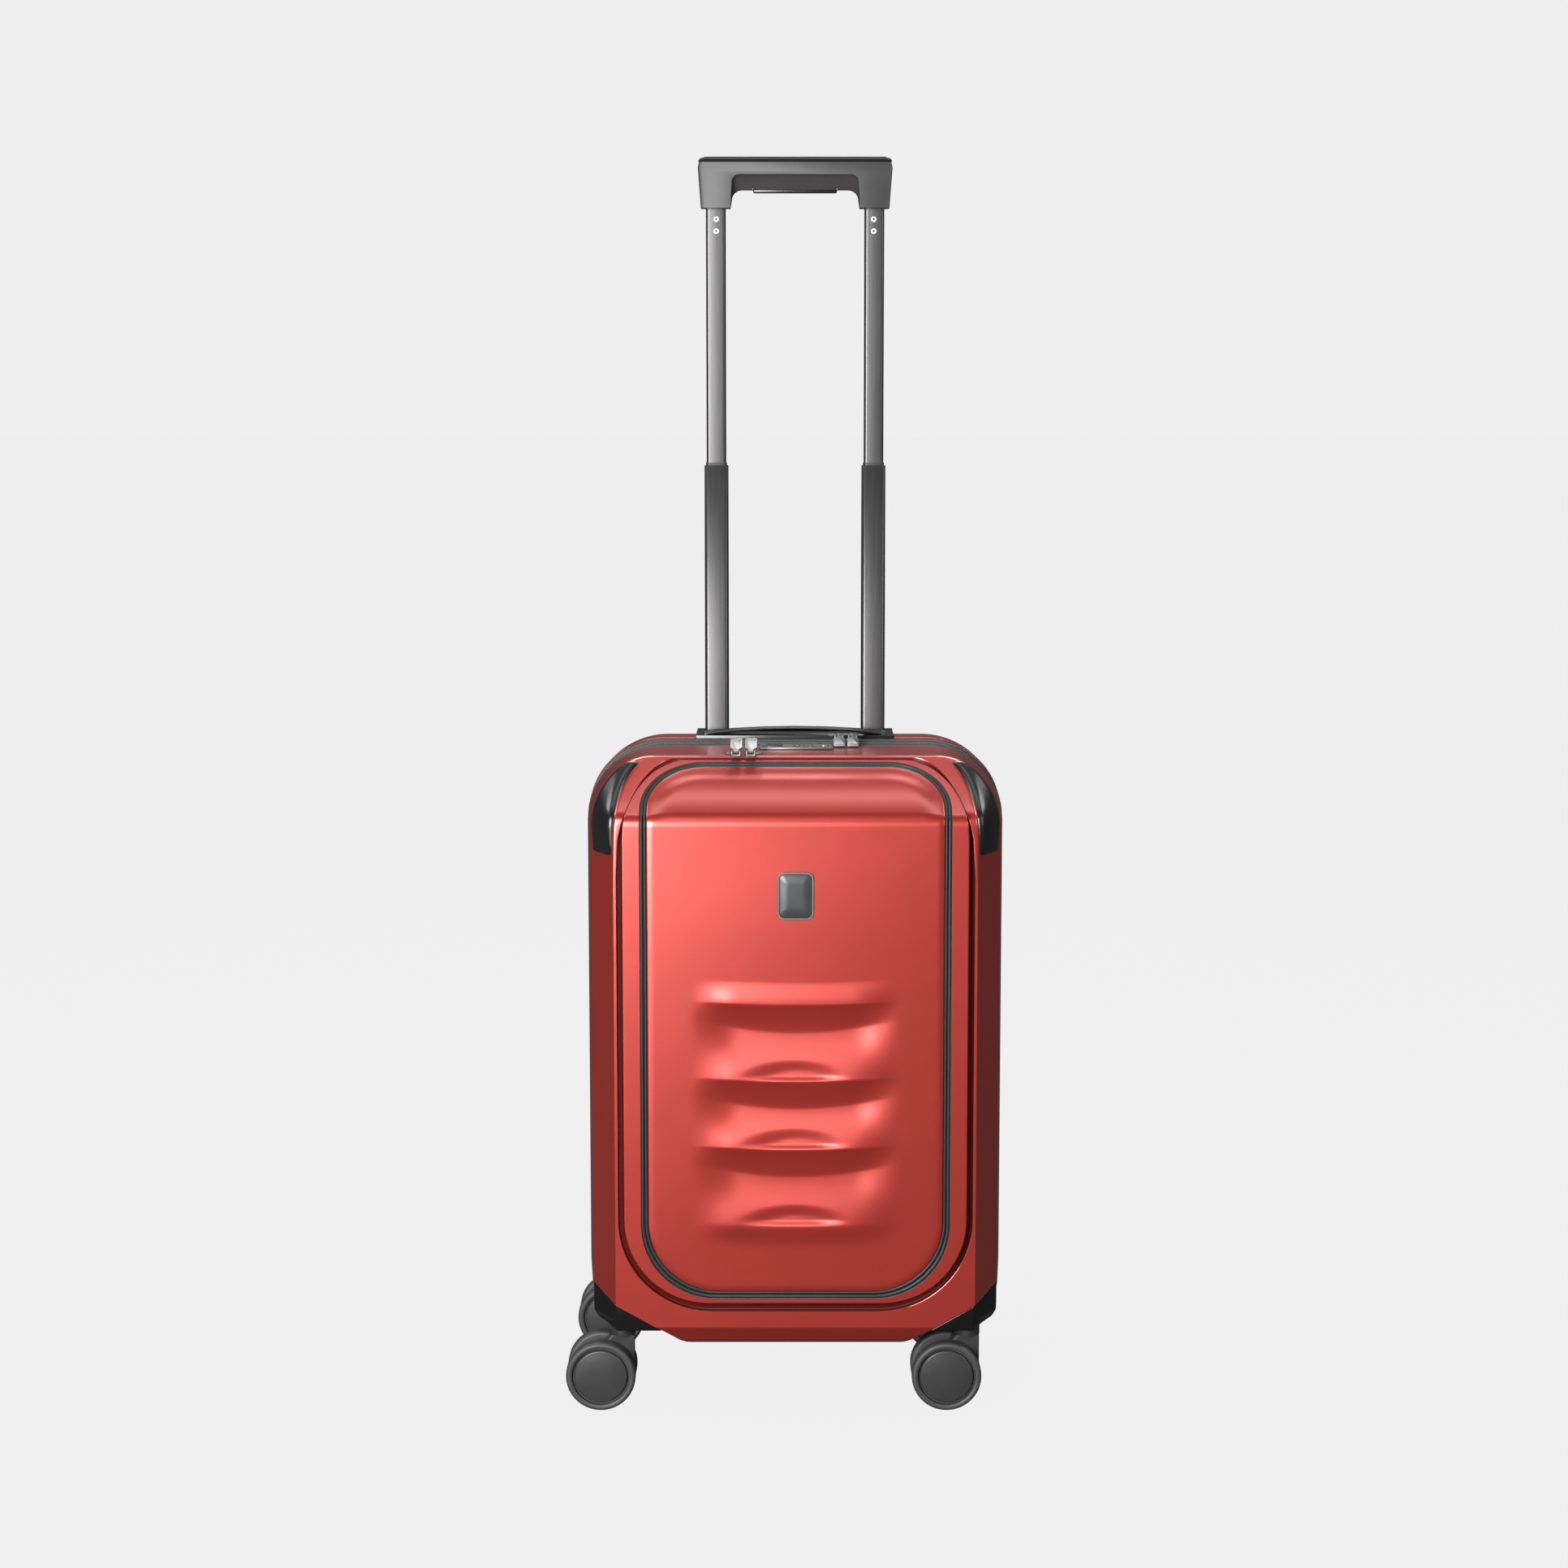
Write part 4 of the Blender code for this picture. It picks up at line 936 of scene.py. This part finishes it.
def build_gusset():
    """Pleated cloth that stretches across the expansion band."""
    profile = []
    for step in range(GUSSET_STEPS + 1):
        share = step / GUSSET_STEPS
        y = BAND_SPLIT_Y - 0.0030 + (BACK_RIM_Y + 0.0035 - BAND_SPLIT_Y) * share
        profile.append((y, 0.0042 + 0.0007 * math.cos(share * math.pi * 6)))
    outside = [rim_loop(y, inset) for y, inset in profile]
    inside = [rim_loop(y, inset + 0.0007) for y, inset in reversed(profile)]
    made = loft(outside + inside, ring=True)
    start = (CENTRE_X, BACK_RIM_Y - 0.001, 0.3)
    end = (CENTRE_X, BAND_SPLIT_Y - 0.002, 0.3)
    add_piece("expansion_gusset_cloth", made, LINING, (("back_half", "expansion_band"), start, end),
              ("expansion_gusset",), 60)


# ---------------------------------------------------------------- corner guards
GUARD_BOTTOM = 0.4665
GUARD_STEPS = 16                # across a guard
FACET_BEND = 0.45               # where the facet's middle line falls across it


def build_guards():
    """Glossy guards that wrap the front shell's upper corner facets, padded towards the middle."""
    first = ARC_STEPS + 1 + 3
    last = first + len(CREASE_STEPS) + int(ARC_STEPS * 0.70)
    facet = facet_loops()
    shares = [step / 22 for step in range(14)] + [0.72, 0.86]
    for name, side in SIDES:
        spine = [[loop[index].copy() for loop in facet] for index in range(first + 1, last)]
        straight = [[Vector((p.x, p.y, GUARD_BOTTOM + (p.z - GUARD_BOTTOM) * share)) for p in spine[0]]
                    for share in shares]
        spine = straight + spine
        total = sum((b[1] - a[1]).length for a, b in zip(spine, spine[1:]))
        travelled = 0.0
        sections = []
        for index, (outer, centre, inner) in enumerate(spine):
            before, after = spine[max(0, index - 1)], spine[min(len(spine) - 1, index + 1)]
            if index:
                travelled += (centre - spine[index - 1][1]).length
            along = (after[1] - before[1]).normalized()
            across = inner - outer
            normal = along.cross(across).normalized()
            normal = normal if normal.y < 0 else -normal
            from_end = min(travelled, total - travelled)
            end_fade = math.sqrt(max(0.02, 1 - max(0.0, 1 - from_end / 0.004) ** 2))
            plump = 0.0019 + 0.0030 * math.sin(math.pi * travelled / total) ** 0.8
            plump -= 0.0006 * math.exp(-((travelled - 0.0070) / 0.0009) ** 2)
            pinch = 0.09 * (1 - math.sqrt(1 - max(0.0, 1 - from_end / 0.0035) ** 2))
            section = []
            for step in range(GUARD_STEPS + 1):
                u = step / GUARD_STEPS
                reach = 0.36 + pinch + (0.61 - 2 * pinch) * u
                if reach < FACET_BEND:
                    base = outer.lerp(centre, reach / FACET_BEND)
                else:
                    base = centre.lerp(inner, (reach - FACET_BEND) / (1 - FACET_BEND))
                edge = math.sqrt(max(0.0, 1 - abs(2 * u - 1) ** 4))
                section.append(base + normal * (0.0003 + plump * edge * end_fade))
            loop = section + [section[-1] - normal * 0.0008, section[0] - normal * 0.0008]
            sections.append([Vector((side * p.x, p.y, p.z)) for p in loop])
        made = capped_loft(sections)
        made.verts.ensure_lookup_table()
        count = len(sections[0])
        free = [made.verts[row * count + column] for row in range(3, len(sections) - 3)
                for column in range(2, GUARD_STEPS - 1)]
        for _ in range(8):
            bmesh.ops.smooth_vert(made, verts=free, factor=0.5,
                                  use_axis_x=True, use_axis_y=True, use_axis_z=True)
        add_piece(f"corner_guard_{name}_skin", made, GLOSS_BLACK, "front_half",
                  (f"corner_guard_{name}",), 50)


# ---------------------------------------------------------------- casters
TRAIL = 0.018
CASTER = (0.144, 0.0835)
WHEEL_R = 0.029
WHEEL_PITCH = 0.0325
WHEEL_WIDTH = 0.013
TYRE_ROUND = 0.0028


def build_wheel(name, centre, direction):
    """A tyre with a hub cap on its outer face."""
    inner = WHEEL_PITCH / 2 - WHEEL_WIDTH / 2
    outer = WHEEL_PITCH / 2 + WHEEL_WIDTH / 2
    shoulder = arc((WHEEL_R - TYRE_ROUND, outer - TYRE_ROUND), TYRE_ROUND, 90, 0, 6)
    inner_shoulder = arc((WHEEL_R - TYRE_ROUND, inner + TYRE_ROUND), TYRE_ROUND, 0, -90, 6)
    tyre = [(0.0, outer - 0.0045), (0.0240, outer - 0.0045), (0.0240, outer - 0.0010),
            (0.0246, outer - 0.0003), *shoulder, *inner_shoulder, (0.0120, inner),
            (0.0110, inner + 0.0006), (0.0, inner + 0.0006)]
    cap = [(0.0, outer + 0.0002), (0.010, outer - 0.0001), (0.018, outer - 0.0007),
           (0.0208, outer - 0.0012), *arc((0.0208, outer - 0.0026), 0.0014, 80, 0, 5),
           (0.0222, outer - 0.0046), (0.0, outer - 0.0046)]
    for part, profile, look, replaced in (("tyre", tyre, TYRE_GREY, (name,)), ("cap", cap, HUB_GREY, ())):
        made = turned([(radius, direction * y) for radius, y in profile], 72, centre)
        add_piece(f"{name}_{part}", made, look, name, replaced, 40)


def build_casters():
    for end, end_sign in ENDS:
        half = "front_half" if end == "front" else "back_half"
        for name, side in SIDES:
            caster = f"{end}_caster_{name}"
            centre = (side * CASTER[0] - TRAIL, end_sign * CASTER[1], WHEEL_R)
            for face, direction in (("outer", end_sign), ("inner", -end_sign)):
                build_wheel(f"{caster}_wheel_{face}", centre, direction)
            refined(f"{caster}_fork", SATIN_BLACK, caster, 0.0022, 4)
            refined(f"{end}_housing_{name}", PIANO_BLACK, half, 0.0012, 3, 25)
            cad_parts[f"{caster}_axle"].data.materials[0] = STEEL


# ---------------------------------------------------------------- trolley
TUBE_X = 0.0673
TUBE_Y = 0.080
TUBE_WALL = 0.0012
LOWER_TUBE = (0.0205, 0.0140, 0.0034)       # width, depth, corner
UPPER_TUBE = (0.0168, 0.0102, 0.0026)
RIVET_RIM = ((0.0, 0.0003), (0.0008, 0.0003), (0.0009, 0.0), (0.0012, -0.0001), (0.0020, -0.0001),
             (0.0023, 0.0), (0.0023, 0.0004), (0.0, 0.0004))
RIVET_CORE = ((0.0, 0.0), (0.00075, 0.0), (0.00085, 0.0004), (0.0, 0.0004))


def tube_loops(centre_x, section, profile):
    """Loops up a tube from (z, grow) pairs."""
    width, depth, radius = section
    loops = []
    for z, grow in profile:
        plan = rounded_plan(width / 2 + grow, depth / 2 + grow, radius + grow, 8)
        loops.append([Vector((centre_x + x, TUBE_Y + y, z)) for x, y in plan])
    return loops


def build_tubes():
    for name, side in SIDES:
        x = side * TUBE_X
        lower = tube_loops(x, LOWER_TUBE, ((0.505, 0), (0.7775, 0), (0.7780, -0.0004), (0.7780, -TUBE_WALL),
                                           (0.505, -TUBE_WALL)))
        add_piece(f"lower_tube_{name}_skin", loft(lower, ring=True), TUBE, "trolley_lower",
                  (f"lower_tube_{name}",), 50)
        collar = tube_loops(x, UPPER_TUBE, ((0.770, 0.0006), (0.7795, 0.0006), (0.7803, 0.0004),
                                            (0.7803, 0.0002), (0.770, 0.0002)))
        add_piece(f"stage_bush_{name}", loft(collar, ring=True), SATIN_BLACK, "trolley_lower",
                  (), 50)
        upper = tube_loops(x, UPPER_TUBE, ((0.745, 0), (1.009, 0), (1.009, -TUBE_WALL), (0.745, -TUBE_WALL)))
        add_piece(f"upper_tube_{name}_skin", loft(upper, ring=True), TUBE, "trolley_upper",
                  (f"upper_tube_{name}",), 50)
        for number, z in ((1, 0.986), (2, 0.976)):
            centre = (side * 0.0668, TUBE_Y - UPPER_TUBE[1] / 2, z)
            rim, core = turned(RIVET_RIM, 28, centre), turned(RIVET_CORE, 20, centre)
            add_piece(f"rivet_{name}_{number}", rim, RIVET, "trolley_upper")
            add_piece(f"rivet_core_{name}_{number}", core, STEEL, "trolley_upper")


def grip_outline(y, under, inset, fillet):
    """One slice across the grip: two legs under a cross bar."""
    bottom, seam = 0.995, 1.0332
    leg_in, leg_out, top_out = 0.0549, 0.0798 - inset, 0.0823 - inset
    inner = leg_in - 0.0012
    right = arc((inner - fillet, under - fillet), fillet, 90, 0, 10)
    right += [(leg_in, bottom), (leg_out, bottom), (top_out, seam - 0.0045), (top_out - 0.0010, seam)]
    left = [(-x, z) for x, z in reversed(right)]
    return [Vector((x, y, z)) for x, z in right + left]


GRIP_Y = (0.064, 0.092)
# Slices from front to back: (depth, underside, inset, fillet)
GRIP_SLICES = ((0.064, 1.0230, 0.0032, 0.0065), (0.0652, 1.0226, 0.0008, 0.0065),
               (0.0675, 1.0212, 0.0, 0.0070), (0.071, 1.0150, 0.0, 0.0080),
               (0.075, 1.0105, 0.0, 0.0085), (0.088, 1.0105, 0.0, 0.0085),
               (0.091, 1.0115, 0.0010, 0.0080), (0.092, 1.0130, 0.0032, 0.0075))


def build_grip():
    body = soften(capped_loft([grip_outline(*part) for part in GRIP_SLICES]), 0.0006, 2, 35)
    add_piece("grip_skin", body, GRIP_BLACK, "trolley_upper", ("grip_body",), 35)
    front, back = GRIP_Y
    loops = []
    for x, z, inset in ((0.0815, 1.0334, 0.0010), (0.0818, 1.0344, 0.0006), (0.0806, 1.0362, 0.0014),
                        (0.0786, 1.0378, 0.0030), (0.0770, 1.0380, 0.0046)):
        half_y = (back - front) / 2 - inset
        plan = rounded_plan(x, half_y, 0.0030, 5, (0, (front + back) / 2))
        loops.append([Vector((px, py, z)) for px, py in plan])
    add_piece("grip_cap_skin", capped_loft(loops), GLOSS_BLACK, "trolley_upper",
              ("grip_cap",), 40)
    refined("release_button", GLOSS_BLACK, "release_button", 0.0004, 2)
    head = ((0.0, -0.0001), (0.0014, -0.0001), (0.0018, 0.0003), (0.0018, 0.0008), (0.0, 0.0008))
    for name, side in SIDES:
        screw = turned(head, 20, (side * 0.0357, 0.0745, 1.0105), (0, 0, 1))
        add_piece(f"grip_screw_{name}", screw, STEEL, "trolley_upper")


def build_top():
    refined("trolley_bezel", GLOSS_BLACK, "back_half", 0.0009, 3)
    refined("carry_handle", SATIN_BLACK, "carry_handle", 0.0011, 3)
    for name, _ in SIDES:
        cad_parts[f"trolley_guide_{name}"].data.materials[0] = SATIN_BLACK


# ---------------------------------------------------------------- lock and pulls
DIAL_RADIUS = 0.00595
DIAL_STEPS = 60


def build_lock():
    refined("lock_body", SILVER_DARK, "front_half", 0.0004, 2)
    refined("lock_release_slide", GLOSS_BLACK, "lock_release", 0.0003, 2)
    refined("lock_key_cylinder", SILVER, "lock_key", 0.0002, 2)
    for number in (1, 2, 3):
        node = f"lock_dial_{number}"
        low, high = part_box(node)
        centre = (low + high) / 2
        half = (high.x - low.x) / 2
        rows = []
        for offset, shrink in ((-half, 0.93), (-half * 0.7, 1.0), (half * 0.7, 1.0), (half, 0.93)):
            row = []
            for step in range(DIAL_STEPS):
                angle = 2 * math.pi * step / DIAL_STEPS
                ridge = 1 - 0.035 * max(0.0, math.cos(angle * 10)) ** 3
                reach = DIAL_RADIUS * shrink * ridge
                row.append(Vector((centre.x - CENTRE_X + offset, centre.y + reach * math.sin(angle),
                                   centre.z + reach * math.cos(angle))))
            rows.append(row)
        add_piece(f"{node}_skin", capped_loft(rows), SATIN_BLACK, node, (node,))


TAB_LENGTH = 0.028
TAB_WIDTH = 0.0098
TAB_THICK = 0.0014
WIRE_SIDES = 10
RING_POINTS = 28
RING_WIRE = 0.0007


def swept(path, radius, side):
    """A round closed wire along a loop of points that lies square to a side vector."""
    loops = []
    for index, point in enumerate(path):
        ahead = (path[(index + 1) % len(path)] - path[index - 1]).normalized()
        across = ahead.cross(side).normalized()
        angles = [2 * math.pi * step / WIRE_SIDES for step in range(WIRE_SIDES)]
        loops.append([point + across * radius * math.cos(a) + side * radius * math.sin(a) for a in angles])
    return loft(loops, ring=True)


def wire_ring(centre, half_x, half_y):
    """A level oval ring of wire."""
    angles = [2 * math.pi * step / RING_POINTS for step in range(RING_POINTS)]
    path = [centre + Vector((half_x * math.cos(a), half_y * math.sin(a), 0)) for a in angles]
    return swept(path, RING_WIRE, Vector((0, 0, 1)))


def tab_mesh():
    """A flat pull tab with three slots near its free end."""
    neck, half, round_off = 0.0022, TAB_WIDTH / 2, 0.0008
    outline = [(-neck, -0.0010), (neck, -0.0010), (neck, 0.0046), (half - 0.0006, 0.0066),
               (half, 0.0078),
               *arc((half - round_off, TAB_LENGTH - round_off), round_off, 0, 90, 4),
               *arc((round_off - half, TAB_LENGTH - round_off), round_off, 90, 180, 4),
               (-half, 0.0078), (0.0006 - half, 0.0066), (-neck, 0.0046)]
    plate = prism([(px, py, 0) for px, py in outline], (0, 0, -TAB_THICK / 2), (0, 0, TAB_THICK / 2))
    bmesh.ops.recalc_face_normals(plate, faces=plate.faces)
    slot_y = (TAB_LENGTH - 0.0042, TAB_LENGTH - 0.0032)
    slots = joined([block((x - 0.0008, x + 0.0008), slot_y, (-0.002, 0.002)) for x in (-0.0027, 0.0, 0.0027)])
    bmesh.ops.recalc_face_normals(slots, faces=slots.faces)
    tab = carved(as_object("tab", plate), as_object("slots", slots))
    made = bmesh.new()
    made.from_mesh(tab.data)
    bpy.data.objects.remove(tab)
    return soften(made, 0.0002, 2, 50)


def build_pulls():
    """Sliders with a wire ring each, and the tabs that hang on them."""
    kinds = (("door", 1, 16, (0.0060, -0.0008, 0.0006), (0.0031, 0.0036)),
             ("main", -1, -11, (0.0052, 0.0044, 0.0018), (0.0040, 0.0026)))
    for zip_name, direction, tilt, offset, ring_size in kinds:
        for name, side in SIDES:
            slider = f"{zip_name}_slider_{name}"
            low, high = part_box(slider)
            refined(slider, SILVER_DARK, "front_half", 0.0006, 3)
            middle = (low + high) / 2 - Vector((CENTRE_X, 0, 0))
            ring = wire_ring(middle + Vector((side * offset[0], *offset[1:])), *ring_size)
            add_piece(f"{slider}_ring", ring, SILVER, "front_half")
            pivot = Vector((middle.x, middle.y, low.z + 0.0040))
            turn = Matrix.Rotation(0 if direction > 0 else math.pi, 4, "Z")
            lean = Matrix.Rotation(math.radians(tilt), 4, "X")
            tab = tab_mesh()
            bmesh.ops.transform(tab, matrix=Matrix.Translation(pivot) @ turn @ lean, verts=tab.verts)
            pull = f"{zip_name}_pull_{name}"
            add_piece(f"{pull}_tab", tab, SILVER, pull, (pull,))


# ---------------------------------------------------------------- inside
STRAP_Y = 0.0640
STRAP_REACH = 0.1720
STRAP_Z = 0.300                 # where the straps cross, and how far each end rises or falls
STRAP_RISE = 0.085
BUCKLE = (0.0290, 0.0215)
POCKET_ZIP_Z = 0.310
DIVIDER_PITCH = 0.0026
SLIP_POCKET_Y = -0.0401


def patch(name, size, centre, y, outward, rises, look, body):
    """A sewn panel; rises are (inset, height) pairs from its edge to its middle."""
    half_x, half_z, radius = size
    loops = []
    for inset, height in rises:
        plan = rounded_plan(half_x - inset, half_z - inset, max(0.002, radius - inset), 6, centre)
        loops.append([Vector((x, y + outward * height, z)) for x, z in plan])
    return add_piece(name, capped_loft(loops), look, body, (), 40)


def inset_rim(y, inset):
    """The front half's outline at a depth, with corners that stay round."""
    low_corner = (max(0.020, LOW_CORNER[0] - inset), max(0.016, LOW_CORNER[1] - inset))
    top_corner = (max(0.020, TOP_CORNER[0] - inset), max(0.020, TOP_CORNER[1] - inset))
    return depth_loop(HALF_WIDTH - inset, SHELL_BOTTOM + inset, SHELF_Z - inset, low_corner, top_corner, y)


def build_divider():
    """A zipped cloth wall that closes the front half, with a zipped pocket on it."""
    profile = ((0.0110, 0.0034), (0.0124, 0.0034), (0.0136, 0.0050), (0.0140, 0.0090), (0.0138, 0.0120),
               (0.0126, 0.0128), (0.0126, 0.0182), (0.0138, 0.0190), (0.0146, 0.0230), (0.0154, 0.0280),
               (0.0158, 0.0335))
    cloth = loft([inset_rim(y, inset) for y, inset in profile], cap_first=True, cap_last=True)
    add_piece("divider_cloth", cloth, MESH_CLOTH, "front_half", (), 50)
    row = teeth(inset_rim(0.0131, 0.0155), DIVIDER_PITCH, (0.0018, 0.0034, 0.0010), facing(1))
    add_piece("divider_zip_teeth", row, COIL, "front_half", (), 50)
    flat = ((0.0, -0.001), (0.0, 0.0018), (0.0008, 0.0024), (0.0024, 0.0024), (0.0030, 0.0018),
            (0.0050, 0.0020), (0.0200, 0.0034), (0.0450, 0.0040))
    patch("divider_pocket", (0.115, 0.085, 0.014), (0, 0.245), 0.0166, 1, flat, LINING, "front_half")
    tape = ((0.0, -0.001), (0.0, 0.0036), (0.0006, 0.0042), (0.0040, 0.0042))
    patch("divider_pocket_tape", (0.104, 0.0070, 0.0030), (0, POCKET_ZIP_Z), 0.0170, 1, tape, TAPE,
          "front_half")
    line = [Vector((x / 1000, 0.0216, POCKET_ZIP_Z)) for x in range(-98, 99, 2)]
    line += [Vector((point.x, point.y, POCKET_ZIP_Z - 0.0001)) for point in reversed(line)]
    row = teeth(line, DIVIDER_PITCH, (0.0017, 0.0032, 0.0010), facing(1))
    add_piece("divider_pocket_teeth", row, COIL, "front_half", (), 50)


def build_straps():
    """Two crossed packing straps with a buckle where they meet."""
    for name, rise, y in (("rising", 1, STRAP_Y), ("falling", -1, STRAP_Y - 0.0017)):
        low, high, half = STRAP_Z - rise * STRAP_RISE, STRAP_Z + rise * STRAP_RISE, 0.0142
        outline = [(-STRAP_REACH, 0, low - half), (-STRAP_REACH, 0, low + half),
                   (STRAP_REACH, 0, high + half), (STRAP_REACH, 0, high - half)]
        strap = soften(prism(outline, (0, y, 0), (0, y + 0.0014, 0)), 0.0005, 2, 50)
        add_piece(f"packing_strap_{name}", strap, STRAP, "back_half", (), 40)
    plan = rounded_plan(*BUCKLE, 0.0080, 8, (0, STRAP_Z))
    loops = []
    for y, inset in ((STRAP_Y + 0.0035, 0.0012), (STRAP_Y + 0.0025, 0.0), (STRAP_Y - 0.0035, 0.0),
                     (STRAP_Y - 0.0055, 0.0010), (STRAP_Y - 0.0062, 0.0034), (STRAP_Y - 0.0054, 0.0060)):
        across, up = [1 - inset / half for half in BUCKLE]
        loops.append([Vector((x * across, y, STRAP_Z + (z - STRAP_Z) * up)) for x, z in plan])
    add_piece("strap_buckle", capped_loft(loops), SATIN_BLACK, "back_half", (), 40)
    for name, side in SIDES:
        x = side * (STRAP_REACH + 0.0002)
        for height, label in ((STRAP_Z - STRAP_RISE, "low"), (STRAP_Z + STRAP_RISE, "high")):
            anchor = block((x - 0.0012, x + 0.0008), (0.0575, 0.0720), (height - 0.017, height + 0.017))
            add_piece(f"strap_anchor_{name}_{label}", soften(anchor, 0.0005, 2), STRAP, "back_half")


def build_tunnels():
    """Lining sleeves over the trolley's guides, inside the back half."""
    for name, side in SIDES:
        loops = []
        for wall, z in ((0.0, 0.0645), (0.0, 0.5355), (0.0010, 0.5355), (0.0010, 0.0645)):
            plan = rounded_plan(0.0168 - wall, 0.0185 - wall, 0.0060 - wall, 6, (side * TUBE_X, 0.0857))
            loops.append([Vector((x, y, z)) for x, y in plan])
        add_piece(f"trolley_tunnel_{name}", loft(loops, ring=True), LINING, "back_half", (), 50)


def build_pocket():
    """The front pocket's back wall with two slip pockets."""
    refined("pocket_back_panel", LINING, "front_half", 0.0003, 1)
    slip = ((0.0, -0.0005), (0.0, 0.0016), (0.0008, 0.0022), (0.0022, 0.0022), (0.0028, 0.0017),
            (0.0045, 0.0020), (0.0180, 0.0036), (0.0400, 0.0042))
    hem = ((0.0, -0.0005), (0.0, 0.0044), (0.0006, 0.0050), (0.0030, 0.0050))
    for label, low, high in (("large", 0.118, 0.330), ("small", 0.352, 0.455)):
        half_z = (high - low) / 2
        patch(f"slip_pocket_{label}", (0.104, half_z, 0.012), (0, low + half_z), SLIP_POCKET_Y, -1, slip,
              MESH_CLOTH, "front_half")
        patch(f"slip_hem_{label}", (0.1045, 0.0060, 0.0020), (0, high - 0.0055), SLIP_POCKET_Y, -1, hem,
              TAPE, "front_half")


def build_inside():
    build_pocket()
    build_divider()
    build_straps()
    build_tunnels()


# ---------------------------------------------------------------- camera, floor and light
FLOOR_REACH = 30
FLOOR_LEVELS = (0.857, 0.05)    # as the camera sees it, and as a light on the object
WORLD_LEVELS = (0.863, 0.045)
LENS = 75.35
SENSOR = 36.0
CAMERA_AT = (CENTRE_X - 0.00941, -2.7473, 0.8782)
CAMERA_DOWN = 7.578


def seen_level(tree, seen, unseen):
    """A strength for what the camera sees, and another for what lights the object."""
    ray = tree.nodes.new("ShaderNodeLightPath")
    level = tree.nodes.new("ShaderNodeMapRange")
    level.inputs["To Min"].default_value = unseen
    level.inputs["To Max"].default_value = seen
    tree.links.new(ray.outputs["Is Camera Ray"], level.inputs["Value"])
    return level.outputs["Result"]


def pale(name, levels, matt_level):
    """A pale stage surface that takes soft shadows."""
    made = bpy.data.materials.new(name)
    made.use_nodes = True
    tree = made.node_tree
    tree.nodes.remove(tree.nodes["Principled BSDF"])
    shown = tree.nodes.new("ShaderNodeEmission")
    shown.inputs["Color"].default_value = (1, 1, 1, 1)
    tree.links.new(seen_level(tree, *levels), shown.inputs["Strength"])
    matt = tree.nodes.new("ShaderNodeBsdfDiffuse")
    matt.inputs["Color"].default_value = (matt_level,) * 3 + (1,)
    add = tree.nodes.new("ShaderNodeAddShader")
    tree.links.new(shown.outputs["Emission"], add.inputs[0])
    tree.links.new(matt.outputs["BSDF"], add.inputs[1])
    tree.links.new(add.outputs["Shader"], tree.nodes["Material Output"].inputs["Surface"])
    return made


def build_stage():
    reach = (-FLOOR_REACH, FLOOR_REACH)
    floor = as_object("floor", block(reach, reach, (-0.02, 0)), pale("floor_pale", FLOOR_LEVELS, 0.012))
    world = bpy.data.worlds.new("studio")
    bpy.context.scene.world = world
    world.use_nodes = True
    tree = world.node_tree
    background = tree.nodes["Background"]
    background.inputs["Color"].default_value = (1, 1, 1, 1)
    tree.links.new(seen_level(tree, *WORLD_LEVELS), background.inputs["Strength"])


def softbox(name, place, target, size, power):
    """A rectangular light that faces a target and that the camera doesn't see."""
    light = bpy.data.lights.new(name, "AREA")
    light.shape = "RECTANGLE"
    light.size, light.size_y = size
    light.energy = power
    made = bpy.data.objects.new(name, light)
    made.location = place
    made.rotation_mode = "QUATERNION"
    made.rotation_quaternion = (Vector(target) - Vector(place)).to_track_quat("-Z", "Y")
    made.visible_camera = False
    bpy.context.scene.collection.objects.link(made)


def build_lights():
    softbox("key", (-0.95, -2.3, 0.88), (0, 0, 0.47), (1.2, 1.3), 95)
    softbox("fill", (2.1, -1.7, 1.3), (0, 0, 0.35), (0.8, 1.2), 14)
    softbox("overhead", (0, -0.12, 2.3), (0, 0, 0.4), (1.6, 0.28), 3.7)
    softbox("back", (0, 1.7, 2.4), (0, 0.1, 0.4), (1.8, 0.8), 34)
    softbox("side_left", (-2.0, 0.5, 2.3), (0, 0, 0.3), (0.9, 0.9), 16)
    softbox("side_right", (2.0, 0.5, 2.3), (0, 0, 0.3), (0.9, 0.9), 16)


def build_camera():
    camera = bpy.data.objects.new("camera", bpy.data.cameras.new("camera"))
    camera.data.lens = LENS
    camera.data.sensor_width = SENSOR
    camera.data.clip_end = 100
    camera.location = CAMERA_AT
    camera.rotation_euler = (math.radians(90 - CAMERA_DOWN), 0, 0)
    bpy.context.scene.collection.objects.link(camera)
    bpy.context.scene.camera = camera
    bpy.context.scene.view_settings.view_transform = "Standard"


# ---------------------------------------------------------------- assembly
build_front_shell()
build_back_shell()
build_door()
build_badge()
build_case_zips()
build_door_zip()
build_gusset()
build_guards()
build_casters()
build_tubes()
build_grip()
build_top()
build_lock()
build_pulls()
build_inside()
build_stage()
build_lights()
build_camera()
